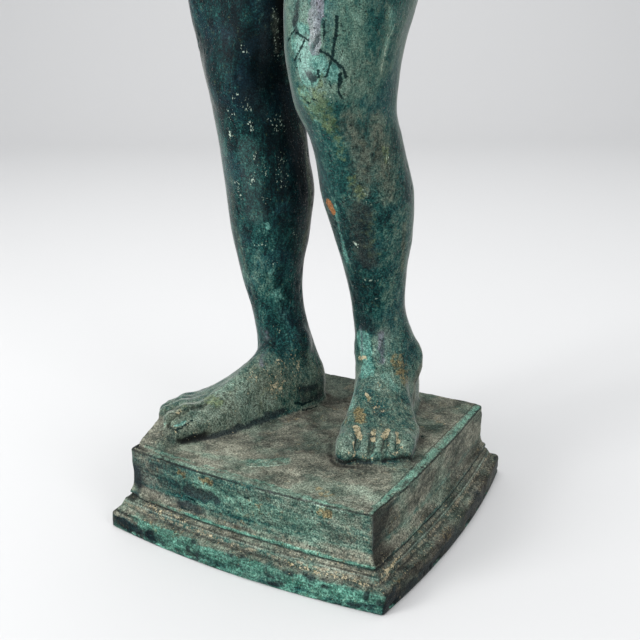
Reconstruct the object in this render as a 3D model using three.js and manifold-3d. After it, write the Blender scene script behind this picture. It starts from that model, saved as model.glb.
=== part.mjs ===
// Bronze statue of a standing youth, without head and lower arms, cast in one with its square stepped plinth.
// Millimetres. +z is up, the figure's own left is +x, its front is -y.
// The origin is the centre of the plinth's underside.
import * as THREE from 'three';
import { mergeVertices } from 'three/addons/utils/BufferGeometryUtils.js';
import Module from 'manifold-3d';

const wasm = await Module();
wasm.setup();

// ---------------------------------------------------------------- main sizes
const PLINTH_HEIGHT = 48;   // ground to the face the feet stand on
// The flat cuts through the neck and the upper arms; the right shoulder hangs lower.
const NECK_CUT = { at: [-16, 15, 688], facing: [0.05, -0.12, 1] };
const ARM_CUT_LEFT = { at: [78, 25, 584], facing: [0.30, 0.14, -1] };
const ARM_CUT_RIGHT = { at: [-108, 25, 574], facing: [-0.34, 0.05, -1] };
const CELL = 3;             // grid step for the body's surface
const FIGURE_TRIANGLES = 7600;

// Plinth profile: height, half width at the corners, and how far each side bows out at its middle
// (left +x, right -x, front -y, back +y).
const PLINTH = [
  [0, 84.8, 6.6, 4.5, 6.6, 5],    // foot of the lower step
  [1, 85.3, 6.6, 4.5, 6.6, 5],
  [10.4, 85.1, 6.6, 4.5, 6, 5],    // its worn upper edge
  [11.8, 84.2, 6.2, 4.2, 5.6, 4.6],
  [12.6, 82.2, 5.6, 3.8, 5.2, 4.2],
  [13.4, 81, 5, 3.2, 4.8, 4],    // bead
  [15.2, 80.2, 4.5, 2.8, 4.6, 3.5],
  [17.4, 79, 4, 2.4, 4.4, 3.2],
  [18.3, 77.6, 3.6, 2.2, 4.2, 3],    // small hollow under the upper moulding
  [19, 77.7, 3.6, 2.2, 4.2, 3],
  [19.7, 78.3, 3.4, 2, 4.2, 3],    // upper moulding
  [20.8, 78, 3.2, 2, 4.2, 2.8],
  [21.8, 76.9, 3, 1.8, 4, 2.5],
  [24.2, 76.1, 2.8, 1.5, 4, 2.2],
  [28, 75.6, 2.4, 1.2, 4, 2],    // block
  [46.2, 75.6, 2.2, 1, 4, 1.5],
  [47.3, 75.2, 2.2, 1, 4, 1.5],
  [48, 74.5, 2.2, 1, 4, 1.5],    // worn top edge
];
const CORNER_LEAN = 1.6;            // the right side stands out a little further towards the front corner

// Sections up each leg: height, centre x, centre y, half width, depth in front, depth behind,
// turn in degrees, squareness (2 is an ellipse).
const LEFT_LEG = [
  [60, 26, 40, 16.6, 18, 20, 15, 2.2], [86, 26.4, 40, 18.2, 17, 21, 15, 2.1], [99, 24.2, 39, 16.9, 16, 19.5, 15, 2.1],
  [112, 21.8, 37.6, 15.7, 15.5, 17.5, 14, 2.1], [137, 21.8, 33, 17.9, 17.5, 20.5, 12, 2.1],
  [162, 22.6, 26.8, 22.6, 21, 24.5, 9, 2.1], [186, 22.2, 20, 25.6, 23.5, 26, 7, 2.1],
  [209, 21, 12.5, 24.1, 23.8, 24, 5, 2.1], [219, 19.6, 9.4, 24.3, 24.7, 24, 4.5, 2.1], [229, 17, 6, 26, 26.5, 24, 4, 2.2],
  [254, 17.2, 3.5, 28.9, 30.5, 28.5, 4, 2.2], [284, 20.9, 8, 31.2, 34, 34, 4, 2.1],
  [310, 23.4, 12, 35.4, 37, 37, 4, 2.1], [340, 26, 15, 39.8, 39, 40, 4, 2.1],
  [370, 27.5, 17, 41.5, 39, 43, 4, 2.1], [400, 28, 18.5, 39.5, 37, 45, 4, 2.1], [430, 27, 20, 35, 33, 43, 4, 2.1],
  [456, 24, 21, 26, 26, 35, 4, 2.1], [480, 20, 22, 13, 15, 22, 4, 2.1],
];
const RIGHT_LEG = [
  [60, -37.2, 30, 15, 18, 20, -25, 2.2], [80, -38.2, 29, 16.2, 17, 19.4, -25, 2.1], [92, -40, 28, 14.8, 16, 18, -24, 2.1],
  [104, -42, 27.6, 14.2, 15.5, 16.8, -22, 2.1], [130, -47.5, 28.8, 18.2, 18.5, 19.8, -18, 2.1],
  [155, -49, 30, 23.9, 21.5, 25.4, -14, 2.1], [179, -47.5, 29.2, 27, 24, 26.4, -10, 2.1],
  [203, -48.2, 26, 25.7, 24.5, 24.6, -7, 2.1], [228, -49.8, 24.2, 26, 26.5, 25, -6, 2.2],
  [254, -52.3, 24.5, 29.3, 29.5, 28, -6, 2.2], [284, -50.6, 26.5, 33.6, 34, 34, -6, 2.1],
  [310, -50, 27, 37.2, 37, 37.5, -6, 2.1], [340, -49.5, 26, 40.5, 39.5, 41, -6, 2.1],
  [370, -47.5, 24.5, 41.5, 40, 44, -6, 2.1], [400, -45.5, 23.5, 40.5, 38, 46, -6, 2.1],
  [434, -43.5, 23, 37, 35, 45, -6, 2.1], [462, -39.5, 22.5, 28, 28, 38, -6, 2.1], [488, -35, 22.5, 13, 15, 24, -6, 2.1],
];
// Sections up the trunk, in the same order, no turn.
const TRUNK = [
  [394, -8, 24, 44, 24, 34, 0, 2.2], [412, -8.5, 23, 62, 33, 42, 0, 2.3], [432, -9, 22.5, 70, 37, 43, 0, 2.3],
  [452, -10, 22, 69, 38, 42, 0, 2.3], [472, -11, 21, 65, 37.5, 38, 0, 2.3], [490, -12, 20.5, 61.5, 37, 35.5, 0, 2.3],
  [508, -12.5, 20, 60, 37, 34.5, 0, 2.3], [528, -13, 20, 62, 38.5, 37, 0, 2.3], [550, -13.5, 20, 66.5, 41, 41, 0, 2.25],
  [572, -14, 20, 71, 44, 45, 0, 2.2], [594, -14.5, 20, 74, 45.5, 47.5, 0, 2.2], [612, -15, 20.5, 74, 42, 46.5, 0, 2.2],
  [628, -15.3, 21.5, 69, 35, 42, 0, 2.2], [640, -15.6, 22, 62, 28.5, 36, 0, 2.2], [650, -16, 22, 50, 24, 30, 0, 2.1],
  [660, -16, 21.5, 34, 22, 25, 0, 2.0],
];
// Sections along a foot from the heel: distance, centre (towards the big toe), half width, height, squareness.
const SOLE = [
  [1.5, 0, 9.5, 17, 2.2], [6, 0.3, 13.4, 26, 2.3], [14, 1.2, 16.2, 34, 2.3], [24, 1.8, 17.2, 40, 2.2], [34, 2.0, 17.8, 41, 2.1],
  [44, 1.6, 18.8, 34, 2.0], [56, 0.8, 20.2, 26, 2.0], [68, 0, 21.4, 19.5, 2.1], [77, -0.5, 21.8, 15.0, 2.2], [85, -2.2, 20.6, 11.0, 2.4],
];
const SOLE_LIP = [ // the thin edge left standing in front of the toes
  [78, -0.8, 22.4, 2.4, 3], [92, -2.2, 21.4, 2.2, 3], [99, -2.8, 19.6, 2.0, 3], [104.5, -3.2, 16.5, 1.8, 3],
];
// Toes, big toe first: root, knuckle and tip, each as distance, side, height and radius.
const TOES = [
  [[78, 9.2, 7.4, 7.8], [91, 9.4, 6.2, 7.2], [98.5, 9.2, 5, 6.8]],
  [[80, 1.4, 7.6, 6], [91, 0.8, 7.4, 5.3], [98, 0.2, 4.5, 4.9]],
  [[78, -6, 7.4, 5.8], [89.5, -6.4, 7, 5.1], [97, -7, 4.4, 4.7]],
  [[74, -12.8, 6.8, 5.6], [86.5, -13.4, 6.4, 4.9], [93.8, -13.8, 4.2, 4.5]],
  [[68, -18.6, 6.2, 5.4], [81.5, -19.6, 5.8, 4.8], [89.8, -19.6, 4, 4.4]],
];
// The right toes lie higher, on the swell of the ground.
const TOES_ON_SWELL = [
  [[78, 12.2, 6.6, 7.8], [92, 12, 4.8, 5.8], [101.5, 11.4, 3.9, 5.3]],
  [[80, 4.4, 9, 6.5], [91, 4, 10.6, 6], [99.5, 2.9, 9.4, 5.5]],
  [[78, -3.6, 9, 6.3], [90, -4, 10.4, 5.8], [98.5, -5, 9.6, 5.3]],
  [[74, -11.4, 8, 6.1], [86, -11.6, 9.2, 5.6], [95, -12.2, 8.6, 5.1]],
  [[68, -18, 7.2, 5.6], [80, -18.4, 8, 5], [89.5, -18.4, 7.4, 4.6]],
];

// ---------------------------------------------------------------- rounded forms as distances
const rad = THREE.MathUtils.degToRad;
const clamp = THREE.MathUtils.clamp;

// Smooth least and greatest of two distances; k is the width of the blend.
function smoothMin(a, b, k) {
  if (k <= 0) return Math.min(a, b);
  const h = clamp(0.5 + (0.5 * (b - a)) / k, 0, 1);
  return b + (a - b) * h - k * h * (1 - h);
}
const smoothMax = (a, b, k) => -smoothMin(-a, -b, k);

// Stations joined by a monotone cubic, looked up by height or distance.
function table(rows, step = 0.5) {
  const t = rows.map((r) => r[0]), n = rows.length;
  const lo = t[0], hi = t[n - 1], count = Math.round((hi - lo) / step) + 1;
  const columns = [];
  for (let c = 1; c < rows[0].length; c++) {
    const y = rows.map((r) => r[c]);
    const h = [], d = [], m = new Array(n).fill(0);
    for (let i = 0; i < n - 1; i++) { h.push(t[i + 1] - t[i]); d.push((y[i + 1] - y[i]) / h[i]); }
    for (let i = 1; i < n - 1; i++) if (d[i - 1] * d[i] > 0) {
      const w1 = 2 * h[i] + h[i - 1], w2 = h[i] + 2 * h[i - 1];
      m[i] = (w1 + w2) / (w1 / d[i - 1] + w2 / d[i]);
    }
    m[0] = d[0]; m[n - 1] = d[n - 2];
    const column = new Float64Array(count);
    for (let q = 0, k = 0; q < count; q++) {
      const x = lo + ((hi - lo) * q) / (count - 1);
      while (k < n - 2 && x > t[k + 1]) k++;
      const s = (x - t[k]) / h[k], s2 = s * s, s3 = s2 * s;
      column[q] = (2 * s3 - 3 * s2 + 1) * y[k] + (s3 - 2 * s2 + s) * h[k] * m[k]
        + (-2 * s3 + 3 * s2) * y[k + 1] + (s3 - s2) * h[k] * m[k + 1];
    }
    columns.push(column);
  }
  const at = (x, i) => {
    const u = ((clamp(x, lo, hi) - lo) / (hi - lo)) * (count - 1), j = Math.min(Math.floor(u), count - 2), w = u - j;
    return columns[i][j] * (1 - w) + columns[i][j + 1] * w;
  };
  return { lo, hi, at };
}

// Distance to a superellipse with half axes a and b.
function section(px, py, a, b, n) {
  const ax = Math.max(Math.abs(px) / a, 1e-4), ay = Math.max(Math.abs(py) / b, 1e-4);
  const un = ax ** n, vn = ay ** n, q = (un + vn) ** (1 / n);
  const g = q ** (1 - n) * Math.hypot(un / ax / a, vn / ay / b);
  return Math.max((q - 1) / Math.max(g, 1e-5), -Math.min(a, b));
}

// A limb or trunk whose sections are stacked up z.
function limb(rows) {
  const T = table(rows);
  const m = Math.max(...rows.map((r) => Math.max(r[3], r[4], r[5]))) + 4;
  const xs = rows.map((r) => r[1]), ys = rows.map((r) => r[2]);
  let lastZ = NaN, cx, cy, a, front, back, ca, sa, n;
  return {
    box: [Math.min(...xs) - m, Math.min(...ys) - m, T.lo - 10, Math.max(...xs) + m, Math.max(...ys) + m, T.hi + 10],
    at(x, y, z) {
      if (z !== lastZ) {
        lastZ = z;
        [cx, cy, a, front, back] = [0, 1, 2, 3, 4].map((i) => T.at(z, i));
        ca = Math.cos(rad(T.at(z, 5))); sa = Math.sin(rad(T.at(z, 5))); n = T.at(z, 6);
      }
      const dx = x - cx, dy = y - cy, px = dx * ca + dy * sa, py = -dx * sa + dy * ca;
      return smoothMax(section(px, py, a, py < 0 ? front : back, n), Math.max(T.lo - z, z - T.hi), 3);
    },
  };
}

// An ellipsoid: centre, half axes, and its turn in degrees about z, x, then y.
function ball(c, r, turn = 0, lean = 0, roll = 0) {
  const R = new THREE.Matrix4().makeRotationZ(rad(turn))
    .multiply(new THREE.Matrix4().makeRotationX(rad(lean)))
    .multiply(new THREE.Matrix4().makeRotationY(rad(roll))).elements;
  const m = Math.max(...r);
  return {
    box: [c[0] - m, c[1] - m, c[2] - m, c[0] + m, c[1] + m, c[2] + m],
    at(x, y, z) {
      const dx = x - c[0], dy = y - c[1], dz = z - c[2];
      const u = (dx * R[0] + dy * R[1] + dz * R[2]) / r[0];
      const v = (dx * R[4] + dy * R[5] + dz * R[6]) / r[1];
      const w = (dx * R[8] + dy * R[9] + dz * R[10]) / r[2];
      const q = Math.sqrt(u * u + v * v + w * w) + 1e-6;
      const g = Math.hypot(u / r[0], v / r[1], w / r[2]) / q + 1e-6;
      return Math.max((q - 1) / g, -Math.min(...r));
    },
  };
}

// A rod with round ends, which may taper.
function rod(p, q, r1, r2 = r1) {
  const d = q.map((v, i) => v - p[i]), L2 = d[0] ** 2 + d[1] ** 2 + d[2] ** 2, m = Math.max(r1, r2);
  return {
    box: [...p.map((v, i) => Math.min(v, q[i]) - m), ...p.map((v, i) => Math.max(v, q[i]) + m)],
    at(x, y, z) {
      const dx = x - p[0], dy = y - p[1], dz = z - p[2];
      const t = clamp((dx * d[0] + dy * d[1] + dz * d[2]) / L2, 0, 1);
      return Math.hypot(dx - t * d[0], dy - t * d[1], dz - t * d[2]) - (r1 + (r2 - r1) * t);
    },
  };
}

// A form cut off flat by a plane, given by a point and the way it faces.
function flatEnd(form, { at: p, facing }) {
  const n = new THREE.Vector3(...facing).normalize();
  return { box: form.box, at: (x, y, z) => smoothMax(form.at(x, y, z), (x - p[0]) * n.x + (y - p[1]) * n.y + (z - p[2]) * n.z, 0.6) };
}

// The body of a foot, sections upright along its length. side is 1 for the left foot.
function footBody(heel, heading, side, rows, down) {
  const T = table(rows), a = rad(heading);
  const u = [Math.sin(a), -Math.cos(a)], m = [-side * Math.cos(a), -side * Math.sin(a)];
  const place = (s, t, h) => [heel[0] + s * u[0] + t * m[0], heel[1] + s * u[1] + t * m[1], PLINTH_HEIGHT + h];
  const ends = rows.flatMap((r) => [-1, 1].map((e) => place(r[0], r[1] + e * r[2], 0)));
  const top = Math.max(...rows.map((r) => r[3]));
  const range = (i, f) => f(...ends.map((p) => p[i]));
  return {
    u, m, place,
    box: [range(0, Math.min) - 4, range(1, Math.min) - 4, PLINTH_HEIGHT - down,
      range(0, Math.max) + 4, range(1, Math.max) + 4, PLINTH_HEIGHT + top + 4],
    at(x, y, z) {
      const dx = x - heel[0], dy = y - heel[1];
      const s = dx * u[0] + dy * u[1], t = dx * m[0] + dy * m[1], h = Math.max(z - PLINTH_HEIGHT, 0);
      const d = Math.max(section(t - T.at(s, 0), h, T.at(s, 1), T.at(s, 2), T.at(s, 3)), PLINTH_HEIGHT - down - z);
      return smoothMax(d, Math.max(T.lo - s, s - T.hi), 4);
    },
  };
}

// The ground swelling up under the right toes, flush with the plinth's right and front sides.
function groundSwell() {
  return {
    box: [-80, -80, 40, -40, 10, 64],
    at(x, y, z) {
      const t = clamp((y + 75.5) / 21, 0, 1), u = clamp((4 - y) / 34, 0, 1), v = clamp((-50 - x - 0.25 * (y + 60)) / 17, 0, 1);
      const h = PLINTH_HEIGHT - 0.6 + 10.2 * t * (1.45 - 0.45 * t) * u * u * (3 - 2 * u) * v * v * (3 - 2 * v);
      const edge = Math.max(-75 - x - 0.02 * y, -74.6 - y);
      return smoothMax((z - h) * 0.85, smoothMax(edge, PLINTH_HEIGHT - 5 - z, 0.5), 1.5);
    },
  };
}

// ---------------------------------------------------------------- the grid that the forms are modelled in
const LO = [-135, -93, 39], HI = [111, 96, 708];
const NX = Math.ceil((HI[0] - LO[0]) / CELL) + 1, NY = Math.ceil((HI[1] - LO[1]) / CELL) + 1, NZ = Math.ceil((HI[2] - LO[2]) / CELL) + 1;
const grid = new Float32Array(NX * NY * NZ).fill(40);
const index = (i, j, k) => (k * NY + j) * NX + i;

function work(shape, k, mix) {
  const m = k + 2 * CELL + 1.5, b = shape.box;
  const from = [0, 1, 2].map((q) => Math.max(0, Math.ceil((b[q] - m - LO[q]) / CELL)));
  const to = [0, 1, 2].map((q) => Math.min([NX, NY, NZ][q] - 1, Math.floor((b[q + 3] + m - LO[q]) / CELL)));
  for (let kz = from[2]; kz <= to[2]; kz++) for (let j = from[1]; j <= to[1]; j++) for (let i = from[0]; i <= to[0]; i++) {
    const at = index(i, j, kz);
    grid[at] = mix(grid[at], shape.at(LO[0] + i * CELL, LO[1] + j * CELL, LO[2] + kz * CELL), k);
  }
}
const add = (shape, k = 8) => work(shape, k, (old, d) => smoothMin(d, old, k));
const cut = (shape, k = 6) => work(shape, k, (old, d) => smoothMax(-d, old, k));

// ---------------------------------------------------------------- legs and feet
function makeFoot(heel, heading, side, ankle, { low = 0, stretch = 1, wide = 0, trim = 0, toes = TOES, edge = true } = {}) {
  const inner = (s) => (trim / 2) * clamp((s - 38) / 24, 0, 1);                                         // less width beside the big toe
  const body = footBody(heel, heading, side, SOLE.map(([s, c, w, h, n]) =>
    [s * stretch, c - wide / 2 - inner(s), w + wide / 2 - inner(s), h - low * (s > 20 && s < 60 ? 1 : s > 60 ? 0.4 : 0), n]), 4);
  const lip = footBody(heel, heading, side, SOLE_LIP, 4);
  const P = (s, t, h) => body.place(s * stretch, t, h);
  add(body, 7);
  add(ball(body.place(14, 0.5, 14), [15, 15, 18], heading), 6);
  // inner and outer ankle
  const [mx, my] = body.m, [ux, uy] = body.u, Z = PLINTH_HEIGHT;
  add(ball([ankle[0] + mx * 11.5, ankle[1] + my * 11.5, Z + 40], [6.5, 8, 9], heading), 7);
  add(ball([ankle[0] - mx * 13 - ux * 3, ankle[1] - my * 13 - uy * 3, Z + 33], [6.5, 8, 10], heading), 7);
  // ridge of the instep to the big toe, and the tendons of the others
  add(rod(P(36, 4, 33 - low), P(78, 9.5 - 0.3 * trim, 8), 9.5, 8.2), 8);
  for (const [t0, t1, s1, h1] of [[2, 2.6, 78, 10], [-1, -5.2, 76, 9.4], [-4, -12.4, 72, 8.2], [-7, -18.4, 66, 6.8]])
    add(rod(P(44, t0, 24 - low), P(s1, t1, h1), 5, 4.4), 5);
  for (const [b, k] of toes) add(rod(P(b[0], b[1], b[2]), P(k[0], k[1], k[2]), b[3], k[3]), 3);
  for (const [, k, t] of toes) add(rod(P(k[0], k[1], k[2]), P(t[0], t[1], t[2]), k[3], t[3]), 3);
  if (edge) add(lip, 1.2);
}

function makeLegs() {
  add(limb(LEFT_LEG), 0);
  add(limb(RIGHT_LEG), 5);
  makeFoot([22, 66], 14.5, 1, [28, 39.5], { trim: 4 });
  makeFoot([-25.2, 46], -24, -1, [-37, 28.5], { low: 3.4, stretch: 1.06, wide: 2.5, toes: TOES_ON_SWELL, edge: false });
  add(groundSwell(), 2.5);
  // knee caps and the tendon below each
  add(ball([16.8, -19.5, 250], [12, 6.5, 15], 4), 12);
  add(rod([17, -14, 240], [20.5, 9, 182], 7, 6), 14);
  add(ball([-50.5, -0.5, 248], [12, 6, 15], -8), 12);
  add(rod([-50.5, 5, 240], [-47, 15, 182], 7, 6), 14);
  // inner and outer heads of the thigh muscle
  add(ball([6.5, -8, 282], [12, 15, 24], 4), 14);
  add(ball([34, -4, 296], [13, 18, 30], 4), 14);
  add(ball([-35, 10, 284], [13, 15, 24], -6), 14);
  add(ball([-68, 14, 296], [12, 17, 30], -6), 14);
}

// ---------------------------------------------------------------- trunk, shoulders and stumps
function makeTrunk() {
  add(limb(TRUNK), 16);
  const along = (z, i) => {
    let q = 0;
    while (q < TRUNK.length - 2 && z > TRUNK[q + 1][0]) q++;
    const [a, b] = [TRUNK[q], TRUNK[q + 1]];
    return THREE.MathUtils.lerp(a[i], b[i], clamp((z - a[0]) / (b[0] - a[0]), 0, 1));
  };
  const X = (z) => along(z, 1), F = (z) => along(z, 2) - along(z, 4), B = (z) => along(z, 2) + along(z, 5);
  // s: 1 left, -1 right; dz lowers the right shoulder, hz raises the right hip
  const SIDES = [[1, 4, -5], [-1, -5, 6]];
  for (const [s, dz, hz] of SIDES) {
    const sx = X(632) + s * 81;
    add(rod([X(640) + s * 52, 24, 638 + dz], [sx, 22, 630 + dz], 20, 24), 14);                          // shoulder
    add(ball([sx + s * 2, 21, 618 + dz], [22, 25, 30], 0, 0, -s * 12), 8);
    const arm = rod([sx + s * 2, 22, 622 + dz], [sx + s * 16, 28, 552 + dz], 21.5, 17.5);                // upper arm
    add(flatEnd(arm, s > 0 ? ARM_CUT_LEFT : ARM_CUT_RIGHT), 6);
    add(rod([X(650) + s * 8, 30, 672], [X(640) + s * 62, 27, 646 + dz], 17, 12), 16);                   // neck to shoulder
    add(rod([X(645) + s * 11, 0, 642 + dz * 0.3], [X(645) + s * 62, 12, 649 + dz], 4.2, 4.2), 8);       // collar bone
    add(ball([X(598) + s * 30, F(598) + 12, 598 + dz], [33, 15.5, 24], s * 14, 0, s * 8), 9);           // chest
    add(rod([X(598) + s * 34, F(598) + 16, 604 + dz], [sx - s * 6, 8, 622 + dz], 18, 15), 12);
    add(rod([X(545) + s * 14, F(545) + 13.5, 550], [X(455) + s * 11, F(455) + 13, 448], 16, 13), 12);   // belly
    add(rod([X(488) + s * 45, 32, 492 + hz], [X(488) + s * 44, 8, 484 + hz], 15, 14), 18);              // flank
    for (let j = 0; j < 3; j++)                                                                         // ribs
      add(ball([X(560) + s * (58.5 - 2.6 * j), 4 - 2 * j, 566 - 12.5 * j + dz * 0.5], [9, 12, 5.5], s * 30, 0, s * 25), 10);
    add(rod([X(600) + s * 57, 36, 602 + dz], [X(520) + s * 42, 38, 518], 17, 9), 14);                   // side of the back
    add(ball([X(604) + s * 38, 56, 606 + dz], [23, 11, 30], -s * 16, 0, s * 8), 12);                    // shoulder blade
    add(rod([X(560) + s * 13, B(560) - 12, 566], [X(460) + s * 13, B(460) - 12, 450], 13, 13), 12);     // beside the spine
    const gx = s > 0 ? 28.5 : -45, gz = s > 0 ? 412 : 420;
    add(ball([gx, 50, gz], [36, 31, 36], s * 8), 10);                                                   // buttock
    add(ball([gx + s * 9, 26, gz + 22], [29, 33, 36]), 20);                                            // hip
    add(rod([X(645) + s * 6, 0, 645], [X(645) + s * 19, 7, 692], 4.5, 7), 8);                           // neck muscle
  }
  add(rod([-16, 22, 640], [-16, 15, 715], 27, 26), 14);                                                 // neck
  add(ball([-9, -4, 414], [23, 16, 20]), 12);                                                           // groin, worn plain
  add(ball([-9, -9, 397], [12, 11.5, 16]), 8);
  for (const [s, dz, hz] of SIDES) {
    cut(rod([X(575) + s * 5, F(575) - 4.5, 569], [X(540) + s * 34, F(540) + 0.5, 536], 2.2), 11);       // edge of the ribs
    cut(rod([X(478) + s * 52, F(478) + 9, 466 + hz], [X(420) + s * 18, F(420) - 8.5, 416 + hz * 0.5], 3), 14); // line of the groin
    cut(rod([X(574) + s * 12, F(574) - 7, 576 + dz], [X(574) + s * 40, F(574) + 1, 581 + dz], 2.2), 10); // under the chest
    for (const z of [547, 525, 504])
      cut(rod([X(z) + s * 6, F(z) - 8, z], [X(z) + s * 20, F(z) - 6, z + 1.5], 1.6), 10);
    cut(rod([X(545) + s * 30, F(545) - 3.5, 543], [X(470) + s * 26, F(470) - 4, 468], 2), 12);
  }
  cut(rod([X(618), F(612) - 4.5, 622], [X(570), F(572) - 6.5, 568], 2.4), 10);                          // breast bone
  cut(rod([X(565), F(560) - 8, 562], [X(470), F(480) - 7, 478], 2), 10);                                // middle line
  cut(ball([X(492), F(492) - 5.5, 491], [3.4, 5.5, 4]), 5);                                             // navel
  cut(ball([X(645), -12.5, 652], [5.5, 8, 7]), 10);                                                     // pit of the neck
  cut(rod([X(610), B(604) + 6, 622], [X(470), B(470) + 3, 462], 5), 16);                                // spine
  cut(rod([-8.5, 90, 446], [-8, 68, 388], 4), 10);
}

makeLegs();
makeTrunk();
// nothing of the right foot hangs over the plinth's side below its sole
for (let k = 0; LO[2] + k * CELL < PLINTH_HEIGHT + 14; k++) for (let j = 0; j < NY; j++) for (let i = 0; i < NX; i++) {
  const at = index(i, j, k);
  grid[at] = Math.max(grid[at], -76.5 - (LO[0] + i * CELL), PLINTH_HEIGHT - 4.5 - (LO[2] + k * CELL));
}

// ---------------------------------------------------------------- surface of the grid, six tetrahedra in each cell
function surface() {
  for (let k = 0; k < NZ; k++) for (let j = 0; j < NY; j++) for (let i = 0; i < NX; i++)
    if (i === 0 || j === 0 || k === 0 || i === NX - 1 || j === NY - 1 || k === NZ - 1) grid[index(i, j, k)] = Math.max(grid[index(i, j, k)], 1);
  const value = (at) => (grid[at] < 0 ? Math.min(grid[at], -0.06) : Math.max(grid[at], 0.06)); // no crossing falls on a grid point
  const step = [1, NX, NX * NY];
  const corner = [0, 1, 2, 3, 4, 5, 6, 7].map((c) => (c & 1) * step[0] + ((c >> 1) & 1) * step[1] + ((c >> 2) & 1) * step[2]);
  const tets = [[1, 3], [3, 2], [2, 6], [6, 4], [4, 5], [5, 1]].map(([a, b]) => [0, a, b, 7]);
  const seen = new Map(), points = [], triangles = [];
  const point = (p, q) => {
    if (p > q) [p, q] = [q, p];
    const key = p * 8 + corner.indexOf(q - p);
    let id = seen.get(key);
    if (id === undefined) {
      const t = value(p) / (value(p) - value(q));
      const place = (at) => [at % NX, Math.floor(at / NX) % NY, Math.floor(at / (NX * NY))];
      const a = place(p), b = place(q);
      id = points.length;
      points.push([0, 1, 2].map((c) => LO[c] + CELL * (a[c] + t * (b[c] - a[c]))));
      seen.set(key, id);
    }
    return id;
  };
  for (let k = 0; k < NZ - 1; k++) for (let j = 0; j < NY - 1; j++) for (let i = 0; i < NX - 1; i++) {
    const base = index(i, j, k);
    let some = false, all = true;
    for (const c of corner) { const inside = value(base + c) < 0; some = some || inside; all = all && inside; }
    if (!some || all) continue;
    for (const tet of tets) {
      const v = tet.map((c) => base + corner[c]);
      const inn = v.filter((p) => value(p) < 0), out = v.filter((p) => value(p) >= 0);
      // even or odd order of the four corners tells which way round the face goes
      if (inn.length === 0 || out.length === 0) continue;
      const order = [...inn, ...out].map((p) => v.indexOf(p));
      let odd = false;
      for (let a = 0; a < 4; a++) for (let b = a + 1; b < 4; b++) if (order[a] > order[b]) odd = !odd;
      const face = (a, b, c) => triangles.push(odd ? [a, c, b] : [a, b, c]);
      if (inn.length === 1) face(point(inn[0], out[0]), point(inn[0], out[1]), point(inn[0], out[2]));
      else if (inn.length === 3) face(point(inn[0], out[0]), point(inn[1], out[0]), point(inn[2], out[0]));
      else {
        const [a, b, c, d] = [point(inn[0], out[0]), point(inn[0], out[1]), point(inn[1], out[1]), point(inn[1], out[0])];
        face(a, b, c); face(a, c, d);
      }
    }
  }
  return { points, triangles };
}

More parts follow.
